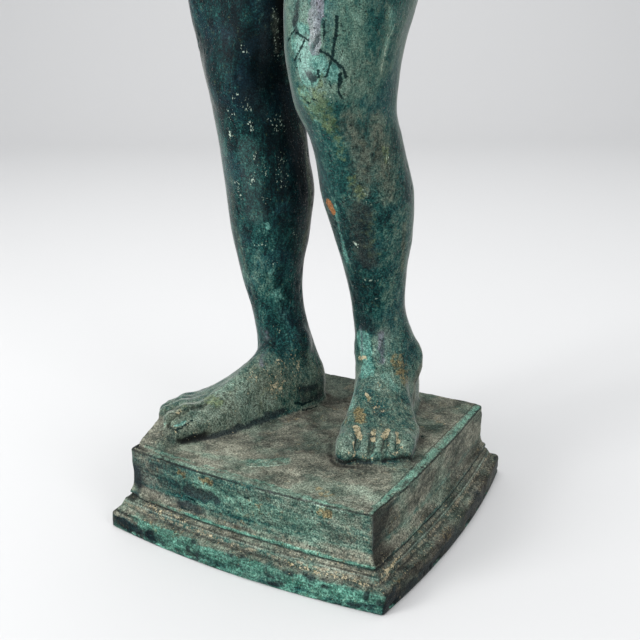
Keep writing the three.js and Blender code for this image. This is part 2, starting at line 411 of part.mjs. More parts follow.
// ---------------------------------------------------------------- fewer, larger faces where the form is smooth
// Edges are drawn together in order of the least squared distance from the planes they stood in.
function simplify({ points, triangles }, wanted) {
  const P = points, T = triangles, alive = new Uint8Array(T.length).fill(1);
  const fans = P.map(() => new Set());
  T.forEach((t, f) => t.forEach((v) => fans[v].add(f)));
  const normal = (a, b, c) => {
    const ux = b[0] - a[0], uy = b[1] - a[1], uz = b[2] - a[2], vx = c[0] - a[0], vy = c[1] - a[1], vz = c[2] - a[2];
    return [uy * vz - uz * vy, uz * vx - ux * vz, ux * vy - uy * vx];
  };
  const far2 = (a, b) => (a[0] - b[0]) ** 2 + (a[1] - b[1]) ** 2 + (a[2] - b[2]) ** 2;
  const longest2 = (a, b, c) => Math.max(far2(a, b), far2(b, c), far2(c, a));
  const Q = P.map(() => new Float64Array(10));
  for (const t of T) {
    const n = normal(P[t[0]], P[t[1]], P[t[2]]), L = Math.hypot(...n);
    if (L < 1e-9) continue;
    const [a, b, c] = n.map((v) => v / L), p = P[t[0]], d = -(a * p[0] + b * p[1] + c * p[2]);
    const q = [a * a, a * b, a * c, a * d, b * b, b * c, b * d, c * c, c * d, d * d];
    for (const v of t) for (let i = 0; i < 10; i++) Q[v][i] += q[i] * L;
  }
  const error = (q, [x, y, z]) => q[0] * x * x + 2 * q[1] * x * y + 2 * q[2] * x * z + 2 * q[3] * x + q[4] * y * y
    + 2 * q[5] * y * z + 2 * q[6] * y + q[7] * z * z + 2 * q[8] * z + q[9];
  const stamp = new Uint32Array(P.length);
  const heap = [];
  const push = (e) => {
    let i = heap.push(e) - 1;
    while (i > 0) { const p = (i - 1) >> 1; if (heap[p].cost <= e.cost) break; heap[i] = heap[p]; i = p; }
    heap[i] = e;
  };
  const pop = () => {
    const top = heap[0], e = heap.pop();
    if (heap.length) {
      let i = 0;
      for (;;) {
        let c = 2 * i + 1;
        if (c >= heap.length) break;
        if (c + 1 < heap.length && heap[c + 1].cost < heap[c].cost) c++;
        if (heap[c].cost >= e.cost) break;
        heap[i] = heap[c]; i = c;
      }
      heap[i] = e;
    }
    return top;
  };
  const q = new Float64Array(10);
  const consider = (a, b) => {
    for (let i = 0; i < 10; i++) q[i] = Q[a][i] + Q[b][i];
    const det = q[0] * (q[4] * q[7] - q[5] * q[5]) - q[1] * (q[1] * q[7] - q[5] * q[2]) + q[2] * (q[1] * q[5] - q[4] * q[2]);
    const mid = [0, 1, 2].map((i) => (P[a][i] + P[b][i]) / 2);
    let at = mid;
    const trace = q[0] + q[4] + q[7];
    if (Math.abs(det) > 1e-5 * trace ** 3) {
      const x = -(q[3] * (q[4] * q[7] - q[5] * q[5]) - q[1] * (q[6] * q[7] - q[5] * q[8]) + q[2] * (q[6] * q[5] - q[4] * q[8])) / det;
      const y = -(q[0] * (q[6] * q[7] - q[8] * q[5]) - q[3] * (q[1] * q[7] - q[5] * q[2]) + q[2] * (q[1] * q[8] - q[6] * q[2])) / det;
      const z = -(q[0] * (q[4] * q[8] - q[5] * q[6]) - q[1] * (q[1] * q[8] - q[6] * q[2]) + q[3] * (q[1] * q[5] - q[4] * q[2])) / det;
      const reach = Math.hypot(P[a][0] - P[b][0], P[a][1] - P[b][1], P[a][2] - P[b][2]);
      if (Math.hypot(x - mid[0], y - mid[1], z - mid[2]) < 1.2 * reach) at = [x, y, z];
    }
    push({ a, b, at, cost: Math.max(error(q, at), 0) + 1e-4 * far2(P[a], P[b]), mark: stamp[a] + stamp[b] * 65536 });
  };
  const around = (v) => {
    const s = new Set();
    for (const f of fans[v]) for (const w of T[f]) if (w !== v) s.add(w);
    return s;
  };
  P.forEach((_, v) => { for (const w of around(v)) if (w > v) consider(v, w); });
  let count = T.length;
  while (count > wanted && heap.length) {
    const { a, b, at, mark } = pop();
    if (!fans[a] || !fans[b] || mark !== stamp[a] + stamp[b] * 65536) continue;
    const na = around(a), nb = around(b);
    if (!na.has(b)) continue;
    let common = 0;
    for (const v of na) if (nb.has(v)) common++;
    if (common !== 2) continue;
    // no face may turn over or grow thin
    let fine = true;
    for (const [v, other] of [[a, b], [b, a]]) for (const f of fans[v]) {
      const t = T[f];
      if (t.includes(other)) continue;
      const before = normal(P[t[0]], P[t[1]], P[t[2]]);
      const p = t[0] === v ? at : P[t[0]], q = t[1] === v ? at : P[t[1]], r = t[2] === v ? at : P[t[2]];
      const after = normal(p, q, r), lb = Math.hypot(...before), la = Math.hypot(...after);
      const dot = before[0] * after[0] + before[1] * after[1] + before[2] * after[2];
      const slim = la / longest2(p, q, r), was = lb / longest2(P[t[0]], P[t[1]], P[t[2]]);
      if (dot < 0.3 * lb * la || slim < Math.min(0.1, 0.5 * was)) { fine = false; break; }
    }
    if (!fine) continue;
    P[a] = at;
    for (let i = 0; i < 10; i++) Q[a][i] += Q[b][i];
    for (const f of fans[b]) {
      if (T[f].includes(a)) { alive[f] = 0; count--; for (const w of T[f]) if (w !== b) fans[w].delete(f); }
      else { T[f] = T[f].map((w) => (w === b ? a : w)); fans[a].add(f); }
    }
    fans[b] = null;
    stamp[a]++;
    const ring = around(a);
    for (const v of ring) consider(a, v);
  }
  return { points: P, triangles: T.filter((_, f) => alive[f]) };
}

function solid(points, triangles) {
  const used = new Map(), coordinates = [];
  const id = (v) => {
    if (!used.has(v)) { used.set(v, used.size); coordinates.push(...points[v]); }
    return used.get(v);
  };
  return new wasm.Manifold(new wasm.Mesh({
    numProp: 3, triVerts: new Uint32Array(triangles.flatMap((t) => t.map(id))), vertProperties: new Float32Array(coordinates),
  }));
}
function toSolid(geometry) {
  const g = geometry.clone();
  g.deleteAttribute('normal');
  g.deleteAttribute('uv');
  const m = mergeVertices(g, 1e-4);
  return new wasm.Manifold(new wasm.Mesh({
    numProp: 3,
    vertProperties: new Float32Array(m.attributes.position.array),
    triVerts: new Uint32Array(m.index.array),
  }));
}

// ---------------------------------------------------------------- plinth: bowed square outlines stacked into a moulding
function makePlinth(parts = 6) {
  const points = [], triangles = [], ring = 4 * parts;
  for (const [z, half, left, right, front, back] of PLINTH) {
    const bow = (t) => 1 - t * t;
    for (let side = 0; side < 4; side++) for (let i = 0; i < parts; i++) {
      const t = -1 + (2 * i) / parts;
      let p;
      if (side === 0) p = [t * half, -half - front * bow(t)];
      else if (side === 1) p = [half + left * bow(t), t * half];
      else if (side === 2) p = [-t * half, half + back * bow(t)];
      else p = [-half - right * bow(t), -t * half];
      if (p[0] < 0 && p[1] < 0) p[0] -= CORNER_LEAN * clamp(-p[1] / half, 0, 1.1) * clamp(-p[0] / half, 0, 1.1) ** 4;
      points.push([...p, z]);
    }
  }
  const levels = PLINTH.length;
  for (let k = 0; k < levels - 1; k++) for (let i = 0; i < ring; i++) {
    const a = k * ring + i, b = k * ring + ((i + 1) % ring), c = a + ring, d = b + ring;
    triangles.push([a, b, d], [a, d, c]);
  }
  const low = points.push([0, 0, PLINTH[0][0]]) - 1, high = points.push([0, 0, PLINTH[levels - 1][0]]) - 1;
  for (let i = 0; i < ring; i++) {
    const j = (i + 1) % ring;
    triangles.push([low, j, i], [high, (levels - 1) * ring + i, (levels - 1) * ring + j]);
  }
  return solid(points, triangles);
}

// A block with one face through a cut, to trim a stump flat.
function blockBeyond({ at, facing }, size, depth = 50) {
  const g = new THREE.BoxGeometry(size, size, depth);
  g.translate(0, 0, depth / 2);
  g.applyQuaternion(new THREE.Quaternion().setFromUnitVectors(new THREE.Vector3(0, 0, 1), new THREE.Vector3(...facing).normalize()));
  g.translate(...at);
  return toSolid(g);
}

const body = simplify(surface(), FIGURE_TRIANGLES);
const figure = solid(body.points, body.triangles).subtract(blockBeyond(NECK_CUT, 90));
const statue = figure.add(makePlinth());

const mesh = statue.getMesh();
const geometry = new THREE.BufferGeometry();
geometry.setAttribute('position', new THREE.BufferAttribute(new Float32Array(mesh.vertProperties), 3));
geometry.setIndex(new THREE.BufferAttribute(new Uint32Array(mesh.triVerts), 1));
geometry.computeVertexNormals();

// dark blue-green patina over bronze
const bronze = new THREE.MeshStandardMaterial({ color: 0x2f5a52, roughness: 0.5, metalness: 0.45 });
const youth = new THREE.Mesh(geometry, bronze);
youth.name = 'bronze_figure_with_plinth';

const part = new THREE.Group();
part.name = 'bronze_torso_sculpture';
part.add(youth);

export default part;
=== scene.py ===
"""Looks of the bronze figure on its plinth. Metres in the scene; the figure itself is modelled in millimetres and scaled at the end.
+z up, the figure's own left is +x, its front is -y, the origin is the centre of the plinth's underside."""
import math

import bpy
import numpy as np
from mathutils import Matrix, Vector


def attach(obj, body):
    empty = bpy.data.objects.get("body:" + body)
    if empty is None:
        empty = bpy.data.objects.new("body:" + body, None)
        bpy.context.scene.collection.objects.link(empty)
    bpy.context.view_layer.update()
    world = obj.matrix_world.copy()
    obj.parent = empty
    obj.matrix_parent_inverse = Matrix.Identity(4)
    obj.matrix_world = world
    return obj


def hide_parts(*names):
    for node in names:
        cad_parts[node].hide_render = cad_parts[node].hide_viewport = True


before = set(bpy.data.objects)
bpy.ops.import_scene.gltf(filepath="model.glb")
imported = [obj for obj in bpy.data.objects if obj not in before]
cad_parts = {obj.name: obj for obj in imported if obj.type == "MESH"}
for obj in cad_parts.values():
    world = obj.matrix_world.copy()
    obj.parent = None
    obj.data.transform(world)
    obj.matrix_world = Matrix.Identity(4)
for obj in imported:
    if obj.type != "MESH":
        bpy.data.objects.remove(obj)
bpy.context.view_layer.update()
NODE = "bronze_figure_with_plinth"
f4 = np.float32

# ------------------------------------------------------------------ camera, at the photograph's angle
PIXELS, FOCAL = 640, 871.53            # picture width and focal length, in pixels
AZIMUTH, PITCH, ROLL = 29.69, 17.67, -0.51
EYE = (0.23623, -0.40874, 0.26327)

def make_camera():
    a, e, r = (math.radians(v) for v in (AZIMUTH, PITCH, ROLL))
    fw = Vector((-math.sin(a) * math.cos(e), math.cos(a) * math.cos(e), -math.sin(e)))
    right = Vector((math.cos(a), math.sin(a), 0))
    up = right.cross(fw)
    right, up = right * math.cos(r) + up * math.sin(r), up * math.cos(r) - right * math.sin(r)
    cam = bpy.data.objects.new("camera", bpy.data.cameras.new("camera"))
    cam.data.sensor_width, cam.data.lens = 36.0, FOCAL / PIXELS * 36.0
    cam.data.clip_start = 0.01
    cam.matrix_world = Matrix(((right.x, up.x, -fw.x, EYE[0]), (right.y, up.y, -fw.y, EYE[1]), (right.z, up.z, -fw.z, EYE[2]), (0, 0, 0, 1)))
    bpy.context.scene.collection.objects.link(cam)
    bpy.context.scene.camera = cam
    return cam

make_camera()

# ------------------------------------------------------------------ rounded forms as distances, in millimetres
def smin(a, b, k):
    h = np.clip(0.5 + 0.5 * (b - a) / k, 0, 1)
    return b + (a - b) * h - k * h * (1 - h)

def smax(a, b, k):
    return -smin(-a, -b, k)

def cubic(x, y, xn):
    """Monotone cubic through the stations x, y."""
    h = np.diff(x); d = np.diff(y) / h
    m = np.zeros_like(y)
    for i in range(1, len(x) - 1):
        if d[i - 1] * d[i] > 0:
            w1, w2 = 2 * h[i] + h[i - 1], h[i] + 2 * h[i - 1]
            m[i] = (w1 + w2) / (w1 / d[i - 1] + w2 / d[i])
    m[0], m[-1] = d[0], d[-1]
    k = np.clip(np.searchsorted(x, xn) - 1, 0, len(x) - 2)
    t = (xn - x[k]) / h[k]
    return ((2*t**3 - 3*t**2 + 1) * y[k] + (t**3 - 2*t**2 + t) * h[k] * m[k]
            + (-2*t**3 + 3*t**2) * y[k + 1] + (t**3 - t**2) * h[k] * m[k + 1])

class Table:
    """Stations along one coordinate, as smooth columns."""
    def __init__(self, rows, step=0.5, soften=0.0):
        rows = np.array(rows, float)
        t = rows[:, 0]
        self.lo, self.hi = t[0], t[-1]
        n = int(round((self.hi - self.lo) / step)) + 1
        self.t = np.linspace(self.lo, self.hi, n)
        self.cols = []
        for i in range(1, rows.shape[1]):
            c = cubic(t, rows[:, i], self.t)
            if soften > 0:
                w = int(3 * soften / step)
                g = np.exp(-0.5 * (np.arange(-w, w + 1) * step / soften) ** 2)
                ends = np.concatenate([2 * c[0] - c[w:0:-1], c, 2 * c[-1] - c[-2:-w - 2:-1]])
                c = np.convolve(ends, g / g.sum(), "valid")
            self.cols.append(c.astype(f4))
    def __call__(self, h, i):
        u = (np.clip(h, self.lo, self.hi) - self.lo) / (self.hi - self.lo) * (len(self.t) - 1)
        j = np.minimum(u.astype(np.int32), len(self.t) - 2)
        w = (u - j).astype(f4)
        c = self.cols[i]
        return c[j] * (1 - w) + c[j + 1] * w

def section(px, py, a, b, n):
    """Distance to a superellipse of half axes a, b."""
    ax = np.maximum(np.abs(px) / a, 1e-4); ay = np.maximum(np.abs(py) / b, 1e-4)
    un, vn = ax ** n, ay ** n
    q = (un + vn) ** (1.0 / n)
    g = q ** (1 - n) * np.sqrt((un / ax / a) ** 2 + (vn / ay / b) ** 2)
    return np.maximum((q - 1) / np.maximum(g, 1e-5), -np.minimum(a, b))

class Limb:
    """Sections stacked up z: z, centre x, centre y, half width, depth in front, depth behind, turn, squareness."""
    def __init__(self, rows):
        self.T = Table(rows, soften=4.0)
        r = np.array(rows, float)
        m = r[:, 3:6].max() + 4
        self.box = (r[:, 1].min() - m, r[:, 2].min() - m, r[0, 0] - 10, r[:, 1].max() + m, r[:, 2].max() + m, r[-1, 0] + 10)
    def __call__(self, x, y, z):
        T = self.T
        cx, cy, a, front, back, turn, n = [T(z, i) for i in range(7)]
        ca, sa = np.cos(np.radians(turn)), np.sin(np.radians(turn))
        dx, dy = x - cx, y - cy
        px, py = dx * ca + dy * sa, -dx * sa + dy * ca
        return smax(section(px, py, a, np.where(py < 0, front, back), n), np.maximum(T.lo - z, z - T.hi), 3.0)

class Ball:
    """Ellipsoid: centre, half axes, turn about z, x, then y in degrees."""
    def __init__(self, c, r, rz=0, rx=0, ry=0):
        self.c, self.r = c, r
        a, b, g = [math.radians(t) for t in (rz, rx, ry)]
        Rz = np.array([[math.cos(a), -math.sin(a), 0], [math.sin(a), math.cos(a), 0], [0, 0, 1]])
        Rx = np.array([[1, 0, 0], [0, math.cos(b), -math.sin(b)], [0, math.sin(b), math.cos(b)]])
        Ry = np.array([[math.cos(g), 0, math.sin(g)], [0, 1, 0], [-math.sin(g), 0, math.cos(g)]])
        self.R = (Rz @ Rx @ Ry).astype(f4)
        m = max(r)
        self.box = (c[0] - m, c[1] - m, c[2] - m, c[0] + m, c[1] + m, c[2] + m)
    def __call__(self, x, y, z):
        R, r = self.R, self.r
        dx, dy, dz = x - self.c[0], y - self.c[1], z - self.c[2]
        u = (dx * R[0, 0] + dy * R[1, 0] + dz * R[2, 0]) / r[0]
        v = (dx * R[0, 1] + dy * R[1, 1] + dz * R[2, 1]) / r[1]
        w = (dx * R[0, 2] + dy * R[1, 2] + dz * R[2, 2]) / r[2]
        q = np.sqrt(u * u + v * v + w * w) + 1e-6
        g = np.sqrt((u / r[0]) ** 2 + (v / r[1]) ** 2 + (w / r[2]) ** 2) / q + 1e-6
        return np.maximum((q - 1) / g, -min(r))

class Rod:
    """Tapering rod with round ends."""
    def __init__(self, p, q, r1, r2=None):
        self.p, self.q, self.r1, self.r2 = np.array(p, float), np.array(q, float), r1, r1 if r2 is None else r2
        m = max(self.r1, self.r2)
        self.box = (*(np.minimum(p, q) - m), *(np.maximum(p, q) + m))
    def __call__(self, x, y, z):
        d = self.q - self.p
        dx, dy, dz = x - self.p[0], y - self.p[1], z - self.p[2]
        t = np.clip((dx * d[0] + dy * d[1] + dz * d[2]) / float(d @ d), 0, 1)
        ex, ey, ez = dx - t * d[0], dy - t * d[1], dz - t * d[2]
        return np.sqrt(ex * ex + ey * ey + ez * ez) - (self.r1 + (self.r2 - self.r1) * t)

class Flat:
    """A form cut off flat by a plane: a point and the way it faces."""
    def __init__(self, form, cut, k=0.8):
        n = np.array(cut[1], float)
        self.n, self.p, self.form, self.k, self.box = n / np.linalg.norm(n), cut[0], form, k, form.box
    def __call__(self, x, y, z):
        n, p = self.n, self.p
        return smax(self.form(x, y, z), (x - p[0]) * n[0] + (y - p[1]) * n[1] + (z - p[2]) * n[2], self.k)

class FootBody:
    """Upright sections along a foot: distance, centre towards the big toe, half width, height, squareness."""
    def __init__(self, heel, heading, side, rows, down):
        a = math.radians(heading)
        self.u = np.array([math.sin(a), -math.cos(a)]); self.m = -side * np.array([math.cos(a), math.sin(a)])
        self.o, self.T, self.down = np.array(heel, float), Table(rows), down
        P = np.array([self.o + r[0] * self.u + (r[1] + e * r[2]) * self.m for r in rows for e in (-1, 1)])
        top = max(r[3] for r in rows)
        self.box = (P[:, 0].min() - 4, P[:, 1].min() - 4, Z0 - down, P[:, 0].max() + 4, P[:, 1].max() + 4, Z0 + top + 4)
    def at(self, s, t, h):
        p = self.o + s * self.u + t * self.m
        return (p[0], p[1], Z0 + h)
    def __call__(self, x, y, z):
        dx, dy = x - self.o[0], y - self.o[1]
        s, t, T = dx * self.u[0] + dy * self.u[1], dx * self.m[0] + dy * self.m[1], self.T
        d = section(t - T(s, 0), np.maximum(z - Z0, 0), T(s, 1), T(s, 2), T(s, 3))
        return smax(np.maximum(d, Z0 - self.down - z), np.maximum(T.lo - s, s - T.hi), 4.0)

# ------------------------------------------------------------------ sizes
Z0 = 48.0   # top of the plinth

OPS = []
def add(form, k): OPS.append(("add", form, k))
def cut(form, k): OPS.append(("cut", form, k))

PLINTH=[ # z, half extent, bow +x side, bow -x side, bow front, bow back
 [0, 84.8, 6.6, 4.5, 6.6, 5],
 [1.0, 85.3, 6.6, 4.5, 6.6, 5],
 [10.4, 85.1, 6.6, 4.5, 6.0, 5],
 [11.8, 84.2, 6.2, 4.2, 5.6, 4.6],
 [12.6, 82.2, 5.6, 3.8, 5.2, 4.2],
 [13.4, 81.0, 5.0, 3.2, 4.8, 4],
 [15.2, 80.2, 4.5, 2.8, 4.6, 3.5],
 [17.4, 79.0, 4.0, 2.4, 4.4, 3.2],
 [18.3, 77.6, 3.6, 2.2, 4.2, 3],
 [19.0, 77.7, 3.6, 2.2, 4.2, 3],
 [19.7, 78.3, 3.4, 2.0, 4.2, 3],
 [20.8, 78.0, 3.2, 2.0, 4.2, 2.8],
 [21.8, 76.9, 3.0, 1.8, 4.0, 2.5],
 [24.2, 76.1, 2.8, 1.5, 4.0, 2.2],
 [28, 75.6, 2.4, 1.2, 4.0, 2],
 [46.2, 75.6, 2.2, 1.0, 4.0, 1.5],
 [47.3, 75.2, 2.2, 1.0, 4.0, 1.5],
 [48, 74.5, 2.2, 1.0, 4.0, 1.5],
]
class Plinth:
    def __init__(self, rows, edge=1.2):
        self.T = Table(rows, 0.25); self.z1 = rows[-1][0]; self.e = edge
        self.box = (-96, -96, -6, 96, 96, rows[-1][0] + 4)
    def __call__(self, x, y, z):
        T = self.T
        P, bl, br, bf, bb = [T(z, i) for i in range(5)]
        ex = P + np.where(x > 0, bl, br) * (1 - np.minimum((y / P) ** 2, 1.3)) - np.where(x < 0, 1.6 * np.clip(y / P, -1.1, 0), 0)
        ey = P + np.where(y < 0, bf, bb) * (1 - np.minimum((x / P) ** 2, 1.3))
        qx, qy = np.abs(x) - ex + self.e, np.abs(y) - ey + self.e
        d = np.sqrt(np.maximum(qx, 0) ** 2 + np.maximum(qy, 0) ** 2) + np.minimum(np.maximum(qx, qy), 0) - self.e
        dz = np.maximum(z - self.z1, -z)
        return np.maximum(d, dz)

# ------------------------------------------------------------------ legs and feet
LEFT=[ # z, cx, cy, half width, front, back, turn, exponent
 [60,26.0,40,16.6,18,20,15,2.2],[86,26.4,40,18.2,17,21,15,2.1],[99,24.2,39,16.9,16,19.5,15,2.1],
 [112,21.8,37.6,15.7,15.5,17.5,14,2.1],[137,21.8,33,17.9,17.5,20.5,12,2.1],[162,22.6,26.8,22.6,21,24.5,9,2.1],
 [186,22.2,20,25.6,23.5,26,7,2.1],[209,21,12.5,24.1,23.8,24,5,2.1],[219,19.6,9.4,24.3,24.7,24,4.5,2.1],[229,17,6,26,26.5,24,4,2.2],
 [254,17.2,3.5,28.9,30.5,28.5,4,2.2],[284,20.9,8,31.2,34,34,4,2.1],[310,23.4,12,35.4,37,37,4,2.1],
 [340,26,15,39.8,39,40,4,2.1],[370,27.5,17,41.5,39,43,4,2.1],[400,28,18.5,39.5,37,45,4,2.1],[430,27,20,35,33,43,4,2.1],[456,24,21,26,26,35,4,2.1],[480,20,22,13,15,22,4,2.1]]
RIGHT=[
 [60,-37.2,30,15.0,18,20,-25,2.2],[80,-38.2,29,16.2,17,19.4,-25,2.1],[92,-40,28.0,14.8,16,18,-24,2.1],
 [104,-42,27.6,14.2,15.5,16.8,-22,2.1],[130,-47.5,28.8,18.2,18.5,19.8,-18,2.1],[155,-49.0,30,23.9,21.5,25.4,-14,2.1],
 [179,-47.5,29.2,27.0,24,26.4,-10,2.1],[203,-48.2,26,25.7,24.5,24.6,-7,2.1],[228,-49.8,24.2,26,26.5,25,-6,2.2],
 [254,-52.3,24.5,29.3,29.5,28,-6,2.2],[284,-50.6,26.5,33.6,34,34,-6,2.1],[310,-50,27,37.2,37,37.5,-6,2.1],
 [340,-49.5,26,40.5,39.5,41,-6,2.1],[370,-47.5,24.5,41.5,40,44,-6,2.1],[400,-45.5,23.5,40.5,38,46,-6,2.1],[434,-43.5,23,37,35,45,-6,2.1],[462,-39.5,22.5,28,28,38,-6,2.1],[488,-35,22.5,13,15,24,-6,2.1]]
SOLE=[ # s, centre, half width, height, exponent
 [1.5, 0, 9.5, 17, 2.2],[6, 0.3, 13.4, 26, 2.3],[14, 1.2, 16.2, 34, 2.3],[24, 1.8, 17.2, 40, 2.2],[34, 2.0, 17.8, 41, 2.1],
 [44, 1.6, 18.8, 34, 2.0],[56, 0.8, 20.2, 26, 2.0],[68, 0, 21.4, 19.5, 2.1],[77, -0.5, 21.8, 15.0, 2.2],[85, -2.2, 20.6, 11.0, 2.4]]
LIP=[ # the thin edge of the sole in front of the toes
 [78, -0.8, 22.4, 2.4, 3],[92, -2.2, 21.4, 2.2, 3],[99, -2.8, 19.6, 2.0, 3],[104.5, -3.2, 16.5, 1.8, 3]]
TOES=[ # base, knuckle, tip: s, t, h, r
 ((78, 9.2, 7.4, 7.8), (91, 9.4, 6.2, 7.2), (98.5, 9.2, 5, 6.8)),
 ((80, 1.4, 7.6, 6), (91, 0.8, 7.4, 5.3), (98, 0.2, 4.5, 4.9)),
 ((78, -6, 7.4, 5.8), (89.5, -6.4, 7, 5.1), (97, -7, 4.4, 4.7)),
 ((74, -12.8, 6.8, 5.6), (86.5, -13.4, 6.4, 4.9), (93.8, -13.8, 4.2, 4.5)),
 ((68, -18.6, 6.2, 5.4), (81.5, -19.6, 5.8, 4.8), (89.8, -19.6, 4, 4.4)),
]
TOES_ON_MOUND=[
 ((78, 12.2, 6.6, 7.8), (92, 12, 4.8, 5.8), (101.5, 11.4, 3.9, 5.3)),
 ((80, 4.4, 9, 6.5), (91, 4, 10.6, 6), (99.5, 2.9, 9.4, 5.5)),
 ((78, -3.6, 9, 6.3), (90, -4, 10.4, 5.8), (98.5, -5, 9.6, 5.3)),
 ((74, -11.4, 8, 6.1), (86, -11.6, 9.2, 5.6), (95, -12.2, 8.6, 5.1)),
 ((68, -18, 7.2, 5.6), (80, -18.4, 8, 5), (89.5, -18.4, 7.4, 4.6)),
]
class Mound:
    """The ground swelling up under the right toes, flush with the plinth's edge."""
    box = (-80, -80, 40, -40, 10, 64)
    def __call__(self, x, y, z):
        t = np.clip((y + 75.5) / 21.0, 0, 1); u = np.clip((4 - y) / 34.0, 0, 1); v = np.clip((-50 - x - 0.25 * (y + 60)) / 17.0, 0, 1)
        h = Z0 - 0.6 + 10.2 * t * (1.45 - 0.45 * t) * (u * u * (3 - 2 * u)) * (v * v * (3 - 2 * v))
        d = np.maximum(-75.0 - x - 0.02 * y, -74.6 - y)
        return smax((z - h) * 0.85, smax(d, Z0 - 5 - z, 0.5), 1.5)
FEET = []
CLEFTS = []
def foot(heel,yaw,side,ankle,low=0,k=1,narrow=0,toes=TOES,trim=0):
    cut_in=lambda s: trim*0.5*min(max((s-38)/24,0),1)
    rows=[[r[0]*k,r[1]+narrow*0.5-cut_in(r[0]),r[2]-narrow*0.5-cut_in(r[0]),r[3]-low*(1 if 20<r[0]<60 else 0.4 if r[0]>60 else 0),r[4]] for r in SOLE]
    F=FootBody(heel,yaw,side,rows,4)
    add(F,7)
    G=FootBody(heel,yaw,side,[[r[0]*k,r[1]+narrow*0.5,r[2]-narrow*0.5,r[3],r[4]] for r in LIP],2)
    add(Ball(F.at(14,0.5,14),(15,15,18),rz=yaw),6)
    A=ankle; mx,my=F.m
    add(Ball((A[0]+mx*11.5,A[1]+my*11.5,Z0+40),(6.5,8,9),rz=yaw),7)
    add(Ball((A[0]-mx*13-F.u[0]*3,A[1]-my*13-F.u[1]*3,Z0+33),(6.5,8,10),rz=yaw),7)
    add(Rod(F.at(36*k,4,33-low),F.at(78*k,9.5-0.3*trim,8.0),9.5,8.2),8)
    for t0,t1,s1,h1 in ((2,2.6,78,10.0),(-1,-5.2,76,9.4),(-4,-12.4,72,8.2),(-7,-18.4,66,6.8)):
        add(Rod(F.at(44*k,t0,24-low),F.at(s1*k,t1,h1),5.0,4.4),5)
    for b,kn,t in toes:
        add(Rod(F.at(b[0]*k,b[1],b[2]),F.at(kn[0]*k,kn[1],kn[2]),b[3],kn[3]),3)
    for b,kn,t in toes:
        add(Rod(F.at(kn[0]*k,kn[1],kn[2]),F.at(t[0]*k,t[1],t[2]),kn[3],t[3]),3)
    if side>0: add(G,1.2)
    CLEFTS.append((F,toes,k))
    FEET.append(F)
    return F
def legs():
    add(Limb(LEFT),0); add(Limb(RIGHT),5)
    foot((22.0,66),14.5,1,(28,39.5),trim=4)
    foot((-25.2,46),-24,-1,(-37,28.5),low=3.4,k=1.06,narrow=-2.5,toes=TOES_ON_MOUND)
    add(Mound(),2.5)
    # knees: cap, tendon and shin crest
    add(Ball((16.8,-19.5,250),(12,6.5,15),rz=4),12)
    add(Rod((17,-14,240),(20.5,9,182),7,6),14)
    add(Ball((-50.5,-0.5,248),(12,6,15),rz=-8),12)
    add(Rod((-50.5,5,240),(-47,15,182),7,6),14)
    # inner and outer head of the quadriceps
    add(Ball((6.5,-8,282),(12,15,24),rz=4),14)
    add(Ball((34,-4,296),(13,18,30),rz=4),14)
    add(Ball((-35,10,284),(13,15,24),rz=-6),14)
    add(Ball((-68,14,296),(12,17,30),rz=-6),14)
# ------------------------------------------------------------------ trunk
TRUNK=[ # z, cx, cy, half width, front, back, turn, exponent
 [394,-8,24,44,24,34,0,2.2],[412,-8.5,23,62,33,42,0,2.3],[432,-9,22.5,70,37,43,0,2.3],[452,-10,22,69,38,42,0,2.3],
 [472,-11,21,65,37.5,38,0,2.3],[490,-12,20.5,61.5,37,35.5,0,2.3],[508,-12.5,20,60,37,34.5,0,2.3],[528,-13,20,62,38.5,37,0,2.3],
 [550,-13.5,20,66.5,41,41,0,2.25],[572,-14,20,71,44,45,0,2.2],[594,-14.5,20,74,45.5,47.5,0,2.2],[612,-15,20.5,74,42,46.5,0,2.2],
 [628,-15.3,21.5,69,35,42,0,2.2],[640,-15.6,22,62,28.5,36,0,2.2],[650,-16,22,50,24,30,0,2.1],[660,-16,21.5,34,22,25,0,2.0]]
def lerp(rows,z,i):
    return float(np.interp(z,[r[0] for r in rows],[r[i] for r in rows]))
NECK_CUT=((-16,15,688),(0.05,-0.12,1))
ARM_CUT_LEFT=((78,25,584),(0.30,0.14,-1))
ARM_CUT_RIGHT=((-108,25,574),(-0.34,0.05,-1))
